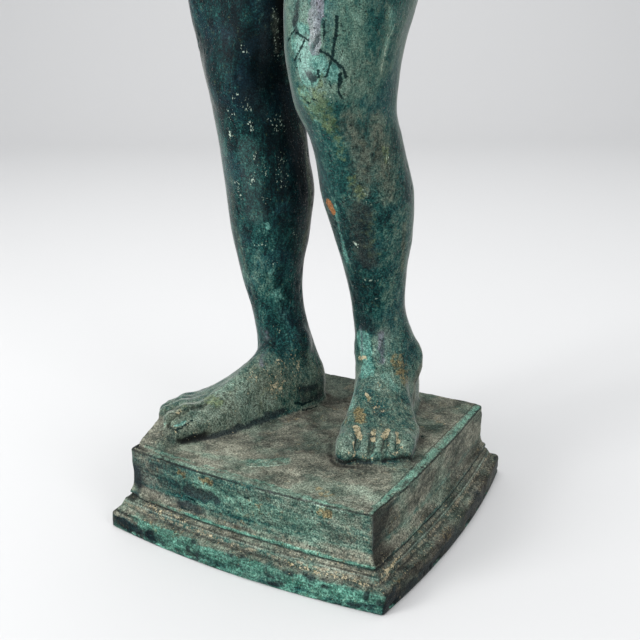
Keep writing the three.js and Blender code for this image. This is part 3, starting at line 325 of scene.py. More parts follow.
def trunk():
    add(Limb(TRUNK),16)
    X=lambda z: lerp(TRUNK,z,1)
    Yf=lambda z: lerp(TRUNK,z,2)-lerp(TRUNK,z,4)
    Yb=lambda z: lerp(TRUNK,z,2)+lerp(TRUNK,z,5)
    # shoulder line: right lower, hip line: right higher
    for s,dz,hz in ((1,4,-5),(-1,-5,6)):
        # deltoid and upper arm stump
        sx=X(632)+s*81
        add(Rod((X(640)+s*52,24,638+dz),(sx,22,630+dz),20,24),14)
        add(Ball((sx+s*2,21,618+dz),(22,25,30),ry=-s*12),8)
        arm=Rod((sx+s*2,22,622+dz),(sx+s*16,28,552+dz),21.5,17.5)
        add(Flat(arm, ARM_CUT_LEFT if s > 0 else ARM_CUT_RIGHT),6)
        # trapezius
        add(Rod((X(650)+s*8,30,672),(X(640)+s*62,27,646+dz),17,12),16)
        # clavicle
        add(Rod((X(645)+s*11,0,642+dz*0.3),(X(645)+s*62,12,649+dz),4.2,4.2),8)
        # pectorals
        add(Ball((X(598)+s*30,Yf(598)+12,598+dz),(33,15.5,24),rz=s*14,ry=s*8),9)
        add(Rod((X(598)+s*34,Yf(598)+16,604+dz),(sx-s*6,8,622+dz),18,15),12)
        # rectus columns
        add(Rod((X(545)+s*14,Yf(545)+13.5,550),(X(455)+s*11,Yf(455)+13,448),16,13),12)
        # oblique above the iliac crest
        add(Rod((X(488)+s*45,32,492+hz),(X(488)+s*44,8,484+hz),15,14),18)
        # ribs and serratus
        for j in range(3):
            add(Ball((X(560)+s*(58.5-2.6*j),4-2*j,566-12.5*j+dz*0.5),(9,12,5.5),rz=s*30,ry=s*25),10)
        # latissimus
        add(Rod((X(600)+s*57,36,602+dz),(X(520)+s*42,38,518),17,9),14)
        # shoulder blade
        add(Ball((X(604)+s*38,56,606+dz),(23,11,30),rz=-s*16,ry=s*8),12)
        # back muscles beside the spine
        add(Rod((X(560)+s*13,Yb(560)-12,566),(X(460)+s*13,Yb(460)-12,450),13,13),12)
        # buttocks
        gx=(28.5 if s>0 else -45); gz=(412 if s>0 else 420)
        add(Ball((gx,50,gz),(36,31,36),rz=s*8),10)
        # hip
        add(Ball((gx+s*9,26,gz+22),(29,33,36)),20)
        # neck muscles
        add(Rod((X(645)+s*6,0,645),(X(645)+s*19,7,692),4.5,7),8)
    # neck
    add(Rod((-16,22,640),(-16,15,700),27,26),14)
    # pubis, plain and worn
    add(Ball((-9,-4,414),(23,16,20)),12)
    add(Ball((-9,-9,397),(12,11.5,16)),8)
    # grooves
    for s,dz,hz in ((1,4,-5),(-1,-5,6)):
        cut(Rod((X(575)+s*5,Yf(575)-4.5,569),(X(540)+s*34,Yf(540)+0.5,536),2.2),11)     # edge of the ribs
        cut(Rod((X(478)+s*52,Yf(478)+9,466+hz),(X(420)+s*18,Yf(420)-8.5,416+hz*0.5),3),14) # groin line
        cut(Rod((X(574)+s*12,Yf(574)-7,576+dz),(X(574)+s*40,Yf(574)+1,581+dz),2.2),10)   # under the chest
        for z in (547,525,504):
            cut(Rod((X(z)+s*6,Yf(z)-8.0,z),(X(z)+s*20,Yf(z)-6.0,z+1.5),1.6),10)
        cut(Rod((X(545)+s*30,Yf(545)-3.5,543),(X(470)+s*26,Yf(470)-4,468),2.0),12)  # edge of the rectus
    cut(Rod((X(618),Yf(612)-4.5,622),(X(570),Yf(572)-6.5,568),2.4),10)
    cut(Rod((X(565),Yf(560)-8,562),(X(470),Yf(480)-7,478),2.0),10)
    cut(Ball((X(492),Yf(492)-5.5,491),(3.4,5.5,4.0)),5)
    cut(Ball((X(645),-12.5,652),(5.5,8,7)),10)
    cut(Rod((X(610),Yb(604)+6,622),(X(470),Yb(470)+3,462),5),16)
    cut(Rod((-8.5,90,446),(-8,68,388),4),10)

# ------------------------------------------------------------------ from forms to a surface
def blend(a, kind, v, k):
    if kind == "cut":
        return np.maximum(a, -v) if k <= 0 else smax(a, -v, k)
    return np.minimum(a, v) if k <= 0 else smin(a, v, k)

def measure(x, y, z, reach=0.0):
    """The figure's distance at rows of points; reach is how far a row's points lie from its first one."""
    D = np.full(x.shape, 60.0, f4)
    cx, cy, cz = x[:, 0], y[:, 0], z[:, 0]
    for kind, form, k in OPS:
        m, b = k + reach + 2.0, form.box
        s = np.nonzero((cx > b[0] - m) & (cx < b[3] + m) & (cy > b[1] - m) & (cy < b[4] + m) & (cz > b[2] - m) & (cz < b[5] + m))[0]
        if len(s):
            D[s] = blend(D[s], kind, form(x[s], y[s], z[s]).astype(f4), k)
    return D

def field(lo, hi, vox, B=4):
    """Distances on a grid, worked out only near the surface."""
    nb = [int(math.ceil((hi[i] - lo[i]) / (B * vox))) for i in range(3)]
    g = np.stack(np.meshgrid(*[np.arange(n) for n in nb], indexing="ij"), -1).reshape(-1, 3)
    mid = (np.array(lo) + (g + 0.5) * B * vox - 0.5 * vox).astype(f4)
    C = measure(*[mid[:, i:i + 1] for i in range(3)])[:, 0]
    D = np.repeat(C[:, None], B ** 3, 1)
    near = np.nonzero(np.abs(C) < B * vox * 0.87 * 1.3 + 1.5)[0]
    o = np.stack(np.meshgrid(*[np.arange(B)] * 3, indexing="ij"), -1).reshape(-1, 3)
    p = (np.array(lo)[None, None] + (g[near][:, None] * B + o[None]) * vox).astype(f4)
    D[near] = measure(p[..., 0], p[..., 1], p[..., 2], B * vox * 1.8)
    return D.reshape(*nb, B, B, B).transpose(0, 3, 1, 4, 2, 5).reshape(nb[0] * B, nb[1] * B, nb[2] * B)

def skin(D, lo, vox):
    """One vertex per cell that the surface crosses, one four-sided face per crossed grid edge."""
    n, inside, cells, pts = D.shape, D < 0, [], []
    for ax in range(3):
        a, b = [slice(None)] * 3, [slice(None)] * 3
        a[ax], b[ax] = slice(0, -1), slice(1, None)
        I = np.argwhere(inside[tuple(a)] != inside[tuple(b)])
        ok = np.ones(len(I), bool)
        for q in range(3):
            if q != ax:
                ok &= (I[:, q] > 0) & (I[:, q] < n[q] - 1)
        I = I[ok]
        J = I.copy(); J[:, ax] += 1
        d0, d1 = D[I[:, 0], I[:, 1], I[:, 2]], D[J[:, 0], J[:, 1], J[:, 2]]
        P = I.astype(float); P[:, ax] += d0 / (d0 - d1)
        u, v = [(1, 2), (2, 0), (0, 1)][ax]
        c = []
        for du, dv in ((1, 1), (0, 1), (0, 0), (1, 0)):
            K = I.copy(); K[:, u] -= du; K[:, v] -= dv
            c.append((K[:, 0] * n[1] + K[:, 1]) * n[2] + K[:, 2])
        c = np.stack(c, 1)
        c[d0 > 0] = c[d0 > 0][:, ::-1]
        cells.append(c); pts.append(P)
    C, P = np.concatenate(cells), np.concatenate(pts)
    ids, inv = np.unique(C.ravel(), return_inverse=True)
    inv = inv.reshape(-1)
    cnt = np.bincount(inv, minlength=len(ids)).astype(float)
    V = np.stack([np.bincount(inv, weights=np.repeat(P[:, q], 4), minlength=len(ids)) / cnt for q in range(3)], 1)
    return V * vox + np.array(lo), inv.reshape(-1, 4)

def gradient(V, e=0.5):
    """Unit direction out of the surface, and the distance there."""
    x = V.astype(f4)
    P = np.concatenate([x + np.eye(3, dtype=f4)[i] * e * s for i in range(3) for s in (1, -1)] + [x])
    D = measure(P[:, 0:1], P[:, 1:2], P[:, 2:3])[:, 0].reshape(7, -1)
    g = np.stack([D[0] - D[1], D[2] - D[3], D[4] - D[5]], 1) / (2 * e)
    L = np.maximum(np.linalg.norm(g, axis=1, keepdims=True), 1e-3)
    return g / L, D[6] / L[:, 0]

# ------------------------------------------------------------------ noise
_rng = np.random.default_rng(11)
_lattice = _rng.random((8, 32, 32, 32)).astype(f4) * 2 - 1

def noise(P, size, seed=0):
    """Smooth noise from -1 to 1; size in millimetres, one value or three."""
    q = P / np.array(size, float) + seed * 7.31
    i = np.floor(q).astype(np.int64)
    f = (q - i).astype(f4)
    w = f * f * f * (f * (f * 6 - 15) + 10)
    T, r = _lattice[seed % 8], 0
    for dx in (0, 1):
        wx = w[:, 0] if dx else 1 - w[:, 0]
        for dy in (0, 1):
            wy = w[:, 1] if dy else 1 - w[:, 1]
            for dz in (0, 1):
                wz = w[:, 2] if dz else 1 - w[:, 2]
                r = r + wx * wy * wz * T[(i[:, 0] + dx) & 31, (i[:, 1] + dy) & 31, (i[:, 2] + dz) & 31]
    return r

def rough(P, size, seed=0, octaves=3, fall=0.5):
    r, a = 0, 1.0
    for k in range(octaves):
        r = r + a * noise(P, np.array(size, float) / 2.03 ** k, seed + k)
        a *= fall
    return r

def step(v, a, b):
    t = np.clip((v - a) / (b - a), 0, 1)
    return t * t * (3 - 2 * t)
FILL = (-63.1, -56.1, 59.3)   # between the first two right toes
MARKS = [   # what, how strong, radius, softness, along
 # the next three: black wash down the right leg's inner side, partly dark patina and partly painted shade
 ("K", 0.55, 4.5, 5.0, [(-26, -4, 281), (-29, 3, 255), (-34, -0, 240)]),
 ("K", 0.28, 2.8, 3.4, [(-22, 2, 277), (-26, 11, 250)]),
 ("K", 0.70, 2.9, 3.5, [(-26, 12, 241), (-25, 15, 217), (-23, 20, 200), (-21, 24, 177)]),
 ("G", 0.70, 2.2, 2.2, [(-24, -0, 277), (-25, 6, 260)]),
 ("T", 0.30, 0.8, 1.1, [(-44, -9, 285), (-46, -8, 266)]),
 # pale bluish streak on the right thigh, a painted highlight
 ("L", 0.16, 2.3, 2.8, [(-55, -8, 285), (-55, -7, 275)]),
 ("C", 0.58, 2.8, 2.5, [(-23, 0, 279), (-25, 7, 258)]),
 ("C", 1.00, 0.7, 0.4, [(-27, -5, 282), (-26, -4, 281)]),
 ("C", 1.00, 0.6, 0.4, [(-47, -9, 251), (-46, -9, 251)]),
 ("C", 0.62, 2.0, 1.4, [(-39, -6, 261), (-37, -5, 258)]),
 ("C", 1.00, 0.7, 0.5, [(-34, 5, 196), (-34, 6, 192)]),
 ("C", 0.95, 0.6, 0.5, [(-38, 3, 192), (-43, 2, 188)]),
 ("C", 1.00, 0.9, 0.6, [(-53, 4, 185), (-51, 4, 180)]),
 ("C", 1.00, 0.9, 0.6, [(-53, -2, 216), (-53, -2, 212)]),
 ("C", 0.80, 1.4, 1.1, [(-41, -4, 228), (-39, -1, 218)]),
 ("C", 1.00, 0.6, 0.4, [(-33, 5, 208), (-33, 5, 207)]),
 ("C", 1.00, 0.6, 0.4, [(-39, 2, 203), (-39, 2, 200)]),
 # the next two: pale grey-brown strip down the right calf's inner side, painted rim light
 ("L", 0.42, 2.3, 1.8, [(-23, 26, 218), (-23, 32, 205), (-21, 31, 190), (-21, 32, 176), (-24, 35, 159), (-27, 32, 145)]),
 ("G", 0.85, 2.3, 1.8, [(-23, 26, 218), (-23, 32, 205), (-21, 31, 190), (-21, 32, 176), (-24, 35, 159), (-27, 32, 145)]),
 ("K", 0.50, 6.2, 6.8, [(-40, -5, 237), (-34, 2, 228)]),
 ("K", 0.45, 4.5, 4.5, [(-32, -0, 255), (-35, -1, 240)]),
 ("L", 0.05, 6.4, 6.9, [(-42, -0, 207), (-46, 6, 169)]),
 # black wash on the right calf's inner side, partly dark patina and partly painted shade
 ("K", 0.50, 2.9, 3.5, [(-28, 9, 215), (-27, 12, 190), (-24, 21, 168), (-27, 32, 145)]),
 ("C", 0.62, 3.8, 2.0, [(-44, -7, 235), (-40, -3, 230)]),
 ("C", 0.62, 2.3, 2.0, [(-49, -6, 227), (-50, -5, 224)]),
 ("C", 0.62, 2.3, 2.0, [(-40, -2, 222), (-39, -0, 217)]),
 ("C", 0.62, 2.4, 1.4, [(-52, -3, 217), (-51, -2, 214)]),
 ("C", 0.62, 3.9, 2.7, [(-29, 7, 224), (-27, 10, 219)]),
 ("C", 0.62, 2.3, 1.4, [(-39, 2, 203), (-39, 2, 200)]),
 ("C", 0.62, 1.9, 1.4, [(-34, 5, 197), (-34, 6, 192)]),
 ("C", 0.62, 2.7, 1.4, [(-53, 3, 186), (-51, 4, 180)]),
 ("C", 0.62, 2.0, 1.4, [(-44, 2, 188), (-37, 4, 194)]),
 ("C", 0.62, 2.0, 1.4, [(-35, 6, 181), (-35, 7, 177)]),
 ("C", 0.50, 3.9, 2.8, [(-27, 11, 203), (-27, 12, 186)]),
 ("C", 0.62, 2.0, 1.4, [(-46, 9, 149), (-39, 10, 152)]),
 ("C", 0.62, 2.0, 1.4, [(-26, 20, 158), (-26, 26, 152)]),
 ("C", 0.62, 2.0, 1.4, [(-37, 12, 138), (-34, 14, 139)]),
 ("C", 0.60, 1.2, 1.1, [(-42, 11, 136), (-39, 11, 137)]),
 ("T", 0.90, 1.1, 0.9, [(-38, 13, 133), (-36, 14, 136)]),
 ("T", 0.80, 1.2, 0.9, [(-37, 9, 163), (-36, 10, 161)]),
 # grey-brown strip along the right shin's outer edge, partly dust and partly painted rim light
 ("G", 0.45, 1.8, 2.4, [(-58, 5, 189), (-61, 11, 160), (-55, 11, 139), (-49, 12, 116)]),
 ("T", 0.40, 3.6, 3.6, [(-35, 15, 118), (-32, 17, 106)]),
 ("C", 0.62, 1.8, 1.1, [(-35, 14, 100), (-34, 14, 98)]),
 # pale blue-grey streak on the right ankle, a painted highlight
 ("V", 0.65, 1.3, 1.8, [(-41, 12, 95), (-41, 6, 87), (-35, -4, 80)]),
 # black wash down the right leg's inner side to the ankle, partly dark patina and partly painted shade
 ("K", 0.60, 3.0, 3.7, [(-28, 29, 138), (-29, 28, 115), (-22, 20, 92), (-20, 23, 75)]),
 ("L", 0.12, 6.0, 6.0, [(-43, 10, 141), (-38, 13, 111)]),
 ("G", 0.35, 13.1, 8.3, [(-33, -4, 78), (-32, -10, 67)]),
 ("L", 0.17, 13.1, 8.3, [(-33, -4, 78), (-32, -10, 67)]),
 ("G", 0.38, 12.9, 7.0, [(-55, -54, 58), (-34, -20, 61)]),
 ("C", 0.62, 6.0, 5.4, [(-28, 4, 79), (-27, -2, 65)]),
 ("C", 0.55, 4.3, 4.3, [(-25, 15, 83), (-22, 15, 73)]),
 ("C", 0.40, 5.3, 4.8, [(-34, -7, 76), (-34, -14, 68)]),
 ("V", 0.30, 4.7, 5.3, [(-37, -13, 75), (-38, -21, 67)]),
 ("T", 0.30, 4.7, 4.7, [(-47, -25, 70), (-54, -29, 66)]),
 ("O", 0.85, 3.5, 2.4, [(-55, -31, 65), (-46, -33, 65)]),
 ("O", 0.40, 2.9, 2.9, [(-63, -40, 64), (-60, -48, 64)]),
 ("T", 1.40, 1.6, 0.8, [(-58, -57, 57), (-56, -53, 58)]),
 ("T", 0.55, 2.3, 2.9, [(-56, -46, 63), (-55, -40, 63)]),
 ("C", 0.60, 1.8, 1.2, [(-62, -50, 63), (-61, -36, 63)]),
 ("C", 0.90, 1.2, 0.9, [(-59, -59, 57), (-56, -60, 55)]),
 ("L", 0.26, 8.2, 7.0, [(-64, -51, 63), (-49, -33, 66), (-38, -18, 71)]),
 ("L", 0.36, 11.8, 7.1, [(-46, -43, 59), (-32, -11, 65)]),
 # the next two: dark crevice by the right heel, painted shadow
 ("K", 0.75, 3.1, 3.1, [(-19, 15, 61), (-15, 26, 60)]),
 ("K", 0.60, 2.8, 3.1, [(-18, 15, 54), (-14, 31, 53)]),
 # dark line along the right foot's lower edge, a painted contact shadow
 ("K", 0.85, 2.5, 2.4, [(-53, -57, 50), (-42, -44, 49), (-33, -27, 50), (-23, 1, 52)]),
 ("G", 0.60, 5.2, 4.0, [(-69, -68, 52), (-67, -61, 55), (-59, -64, 51)]),
 ("K", 0.34, 5.8, 4.6, [(-69, -70, 51), (-61, -62, 54)]),
 # the next two: pale sage strip along the legs' inner edges at the knees, painted rim light
 ("L", 0.30, 1.4, 1.4, [(-1, -23, 281), (-24, 11, 257), (-25, 16, 243), (-2, -15, 234), (4, -13, 222)]),
 ("G", 0.35, 1.4, 1.4, [(-1, -23, 281), (-24, 11, 257), (-25, 16, 243), (-2, -15, 234), (4, -13, 222)]),
 ("K", 0.90, 1.3, 0.8, [(7, -27, 274), (6, -27, 271), (7, -27, 269)]),
 ("K", 0.50, 1.3, 1.0, [(9, -27, 282), (8, -27, 277)]),
 ("K", 0.95, 1.8, 0.9, [(15, -29, 249), (17, -29, 247), (18, -29, 246)]),
 ("K", 0.90, 1.1, 0.8, [(19, -29, 247), (17, -29, 245)]),
 # lighter turquoise on the left knee, partly bloom and partly a painted highlight
 ("L", 0.29, 10.1, 7.1, [(7, -27, 276), (19, -29, 255), (19, -29, 242)]),
 ("L", 0.18, 9.0, 7.0, [(34, -25, 274), (34, -22, 244)]),
 ("T", 1.05, 6.1, 4.1, [(9, -28, 266), (16, -29, 249)]),
 ("T", 0.80, 3.5, 3.0, [(21, -29, 256), (27, -27, 248)]),
 ("L", 0.14, 4.5, 4.0, [(19, -29, 257), (25, -28, 248)]),
 ("T", 0.45, 4.6, 4.1, [(10, -28, 241), (15, -23, 228)]),
 ("K", 0.66, 2.5, 1.5, [(19, -27, 282), (19, -27, 279)]),
 ("K", 0.42, 1.8, 1.0, [(20, -29, 262), (21, -29, 259)]),
 ("S", 0.90, 2.5, 1.5, [(18, -28, 268), (17, -29, 263)]),
 # the next two: grey-violet run on the left knee, partly its own colour and partly a painted highlight
 ("V", 1.10, 3.4, 1.0, [(19, -27, 282), (18, -28, 273)]),
 ("V", 1.10, 3.0, 1.0, [(18, -28, 273), (18, -29, 260)]),
 ("S", 0.80, 5.1, 4.1, [(11, -29, 262), (12, -29, 251)]),
 ("S", 0.90, 3.5, 2.9, [(30, 24, 102), (33, 21, 87)]),
 ("S", 0.60, 2.3, 2.9, [(18, 23, 103), (20, 23, 92)]),
 ("S", 0.70, 2.4, 3.0, [(-43, 12, 95), (-36, -3, 81)]),
 ("S", 0.50, 5.8, 4.6, [(-42, -0, 207), (-43, 6, 169)]),
 ("L", 0.33, 9.9, 7.0, [(33, 25, 96), (37, 15, 79)]),
 ("L", 0.16, 7.6, 5.4, [(36, -33, 60), (60, -16, 58)]),
 ("L", 0.20, 11.7, 8.2, [(-53, -44, 60), (-34, -20, 61)]),
 ("K", 0.45, 4.6, 4.1, [(32, 25, 110), (31, 25, 104)]),
 ("K", 0.50, 2.6, 2.0, [(7, -27, 279), (6, -27, 268)]),
 ("K", 0.80, 1.5, 1.5, [(8, -27, 282), (7, -27, 275)]),
 ("O", 0.75, 1.5, 1.0, [(21, -29, 247), (21, -28, 242)]),
 ("O", 0.75, 4.6, 4.6, [(20, -28, 238), (21, -20, 223)]),
 ("O", 0.65, 4.1, 4.1, [(10, -27, 240), (14, -23, 228)]),
 ("O", 0.45, 3.1, 3.6, [(23, -17, 218), (26, -12, 208)]),
 ("C", 0.35, 2.5, 2.5, [(24, -26, 237), (27, -25, 236)]),
 ("L", 0.22, 1.8, 2.0, [(49, -11, 277), (46, -8, 262), (43, -10, 245)]),
 ("C", 0.50, 0.7, 0.7, [(48, -10, 270), (46, -8, 260), (44, -9, 248)]),
 ("T", 0.35, 2.5, 2.5, [(50, -9, 280), (48, -8, 269), (45, -8, 256)]),
 ("G", 0.56, 5.7, 6.7, [(30, -17, 226), (33, -8, 207), (30, -4, 187)]),
 ("K", 0.30, 2.6, 2.6, [(43, 1, 221), (45, 7, 210)]),
 ("G", 0.42, 5.8, 6.3, [(40, -6, 226), (42, 5, 187)]),
 ("L", 0.12, 6.8, 5.2, [(41, -5, 226), (42, 5, 187)]),
 ("G", 0.40, 6.5, 6.5, [(28, -2, 179), (27, 11, 151)]),
 ("O", 0.30, 4.9, 4.9, [(31, 1, 176), (30, 11, 152)]),
 ("K", 0.60, 7.1, 6.5, [(29, -1, 178), (27, 12, 148)]),
 ("O", 0.70, 1.6, 1.0, [(42, -0, 211), (43, 2, 205)]),
 ("C", 0.70, 1.1, 0.8, [(43, 1, 211), (43, 3, 203), (44, 5, 195)]),
 ("U", 1.10, 2.6, 0.5, [(9, 0, 181), (12, 1, 176)]),
 ("O", 0.55, 3.2, 3.2, [(27, -8, 196), (30, -4, 187)]),
 ("C", 0.55, 2.1, 1.6, [(32, -3, 190), (34, 0, 182)]),
 ("G", 0.50, 4.3, 4.3, [(24, -3, 182), (27, 3, 170)]),
 ("K", 0.38, 6.5, 5.4, [(28, 0, 175), (26, 10, 152)]),
 ("K", 0.45, 3.3, 3.3, [(20, 1, 172), (18, 14, 142)]),
 ("K", 0.45, 4.0, 4.0, [(17, 18, 129), (17, 22, 111)]),
 ("K", 0.50, 5.8, 5.2, [(20, 22, 109), (33, 26, 105)]),
 ("K", 0.35, 4.3, 4.9, [(35, 3, 176), (37, 13, 156)]),
 ("T", 0.55, 1.5, 1.7, [(14, -2, 180), (13, 6, 165), (13, 14, 146)]),
 ("C", 0.80, 1.4, 1.1, [(21, 7, 159), (23, 8, 156)]),
 ("C", 0.95, 0.7, 0.6, [(22, 16, 135), (28, 17, 136), (32, 18, 137)]),
 ("C", 0.70, 0.5, 0.5, [(33, 19, 138), (37, 21, 140), (40, 26, 142)]),
 ("C", 1.00, 0.6, 0.5, [(26, 20, 124), (30, 21, 124)]),
 ("G", 0.60, 1.7, 1.7, [(45, 19, 169), (40, 29, 141)]),
 # the next four: pale grey-violet streaks on the left ankle, painted highlights
 ("V", 0.60, 1.8, 2.4, [(17, 24, 104), (18, 23, 90)]),
 ("L", 0.30, 2.6, 2.9, [(30, 24, 103), (33, 20, 85)]),
 ("V", 0.80, 2.1, 2.3, [(30, 24, 102), (33, 21, 86)]),
 ("L", 0.24, 2.9, 2.9, [(30, 24, 102), (33, 21, 86)]),
 ("T", 1.10, 5.0, 2.9, [(18, 24, 98), (25, 14, 81)]),
 ("L", 0.22, 3.5, 2.9, [(17, 25, 93), (20, 18, 80)]),
 ("T", 0.85, 2.9, 2.3, [(20, 12, 73), (25, -5, 67)]),
 ("T", 0.50, 4.0, 3.5, [(37, 17, 80), (43, 16, 75)]),
 ("C", 1.30, 1.4, 0.7, [(17, 23, 85), (22, 21, 87)]),
 ("C", 1.45, 0.7, 0.5, [(33, 13, 80), (37, 9, 76)]),
 ("C", 1.45, 1.2, 0.6, [(33, -0, 73), (35, -1, 72)]),
 ("C", 0.80, 0.6, 0.5, [(21, 16, 79), (22, 15, 79)]),
 ("O", 0.66, 4.7, 4.1, [(40, 28, 86), (44, 26, 76)]),
 ("G", 0.55, 3.0, 3.0, [(42, 48, 93), (46, 43, 73), (46, 39, 59)]),
 ("C", 0.50, 5.1, 4.5, [(38, -1, 70), (44, -0, 68)]),
 ("O", 0.85, 2.8, 1.7, [(32, -9, 67), (37, -14, 64)]),
 ("O", 0.60, 1.4, 1.1, [(26, -11, 63), (29, -17, 62)]),
 # dark band beside the left foot's inner edge, painted shade
 ("K", 0.45, 3.4, 3.4, [(14, 4, 48), (39, -35, 59)]),
 ("K", 0.30, 4.5, 4.5, [(41, -4, 67), (51, -1, 64)]),
 ("K", 0.50, 3.3, 1.0, [(38, -22, 62), (41, -28, 60)]),
 ("K", 0.50, 3.1, 1.0, [(45, -17, 61), (49, -25, 59)]),
 ("K", 0.50, 3.1, 1.0, [(51, -11, 61), (55, -20, 59)]),
 ("K", 0.40, 2.5, 1.0, [(56, -9, 60), (60, -18, 58)]),
 ("C", 1.18, 1.9, 0.8, [(37, -20, 62), (42, -27, 60)]),
 ("C", 0.85, 1.0, 0.6, [(41, -31, 59), (44, -35, 54)]),
 ("C", 1.15, 1.6, 0.8, [(46, -16, 61), (48, -22, 60), (49, -25, 59)]),
 ("C", 1.12, 1.2, 0.8, [(50, -26, 58), (51, -29, 56)]),
 ("C", 1.10, 1.3, 0.7, [(46, -19, 61), (48, -20, 61)]),
 ("C", 1.18, 1.9, 0.8, [(52, -12, 61), (53, -19, 60)]),
 ("C", 0.90, 0.8, 0.6, [(57, -21, 58), (60, -25, 55)]),
 ("C", 1.10, 1.6, 0.9, [(57, -11, 60), (61, -17, 58)]),
 ("T", 1.10, 0.7, 0.5, [(52, -31, 54), (52, -31, 50)]),
 ("C", 0.80, 0.6, 0.5, [(52, -31, 53), (52, -31, 51)]),
 ("C", 0.80, 0.6, 0.5, [(56, -22, 57), (57, -27, 54)]),
 ("C", 0.90, 1.4, 1.1, [(64, -18, 56), (62, -24, 54)]),
 ("C", 0.70, 1.1, 1.1, [(40, -38, 55), (49, -33, 53)]),
 # black band under the left toe tips, a painted shadow
 ("K", 0.95, 1.2, 0.9, [(45, -35, 50), (52, -31, 50), (58, -27, 50)]),
 ("T", 0.70, 3.8, 3.8, [(-9, -58, 48), (1, -55, 48), (9, -48, 48)]),
 ("T", 0.50, 2.8, 2.8, [(-50, -65, 48), (-28, -63, 48)]),
 ("T", 0.90, 0.9, 0.8, [(-7, -62, 48), (3, -59, 48), (11, -52, 48)]),
 # the next two: pale grey-violet line along the plinth's front arris, a painted highlight
 ("V", 0.45, 0.8, 0.6, [(9, -80, 46), (35, -79, 47), (60, -77, 46)]),
 ("L", 0.35, 0.8, 0.6, [(9, -80, 46), (35, -79, 47), (60, -77, 46)]),
 ("T", 0.30, 2.9, 3.4, [(-17, -28, 48), (-7, -34, 48)]),
 ("T", 0.80, 1.4, 1.6, [(-68, -73, 49), (-51, -74, 49), (2, -75, 48), (51, -77, 48), (70, -76, 47)]),
 ("T", 0.70, 1.5, 1.4, [(75, 73, 47), (75, 16, 48), (74, -33, 48), (72, -69, 48)]),
 ("T", 0.35, 4.1, 3.6, [(67, -63, 48), (69, -39, 48)]),
 ("O", 0.45, 2.6, 2.6, [(39, -67, 48), (47, -70, 48)]),
 ("G", 0.35, 5.7, 5.7, [(13, 1, 48), (23, -32, 48)]),
 # the next two: dark bands on the top beside the right foot's inner edge and before the left toes, painted shadow
 ("K", 0.35, 3.6, 4.2, [(-16, 7, 48), (-23, -16, 48)]),
 ("K", 0.50, 1.6, 2.2, [(35, -39, 48), (47, -38, 48), (63, -27, 50), (67, -19, 53)]),
 ("K", 0.50, 2.4, 2.4, [(57, 7, 61), (46, 45, 49)]),
 ("T", 0.45, 5.4, 4.9, [(-64, -77, 38), (-8, -80, 36), (57, -77, 32)]),
 ("T", 0.40, 4.2, 4.2, [(-2, -80, 26), (51, -78, 24)]),
 ("K", 0.85, 3.9, 3.3, [(-35, -79, 33), (-17, -79, 33)]),
 ("K", 0.75, 2.8, 3.4, [(-42, -79, 23), (-24, -80, 24)]),
 ("K", 0.60, 3.5, 2.9, [(-75, -76, 35), (-72, -77, 23)]),
 ("K", 0.30, 2.6, 3.1, [(26, -79, 27), (35, -79, 26)]),
 ("O", 0.85, 1.9, 1.7, [(-40, -79, 43), (-37, -79, 42)]),
 ("O", 0.85, 2.2, 1.6, [(-24, -79, 43), (-20, -79, 42)]),
 ("O", 0.85, 2.5, 2.0, [(47, -78, 43), (51, -78, 43)]),
 ("K", 1.00, 0.5, 0.4, [(20, -79, 46), (22, -79, 46)]),
 ("K", 1.00, 0.5, 0.4, [(40, -78, 31), (41, -78, 31)]),
 ("G", 0.60, 2.2, 2.2, [(-70, -78, 19), (-26, -83, 17), (31, -83, 17), (73, -81, 16)]),
 ("C", 0.50, 1.7, 1.7, [(-65, -81, 17), (-39, -83, 16), (-14, -85, 15)]),
 ("C", 0.55, 1.3, 1.3, [(33, -86, 13), (55, -84, 13), (75, -83, 13)]),
 ("T", 0.75, 3.2, 2.7, [(-80, -85, 12), (-34, -90, 11), (12, -91, 9), (57, -89, 8), (84, -85, 9)]),
 ("G", 0.40, 6.8, 5.7, [(77, -55, 35), (78, -0, 39), (76, 65, 39)]),
 ("O", 0.25, 3.6, 3.6, [(76, -66, 26), (77, -51, 33)]),
 ("C", 1.00, 0.9, 0.7, [(80, -76, 16), (81, -66, 16), (82, -58, 17)]),
 ("C", 0.70, 0.8, 0.7, [(78, -70, 21), (78, -63, 22)]),
 ("K", 0.60, 1.1, 1.4, [(81, -69, 15), (83, -26, 16), (82, 37, 17)]),
 ("G", 0.50, 2.3, 2.3, [(87, -72, 8), (91, -17, 10), (86, 63, 12)]),
]
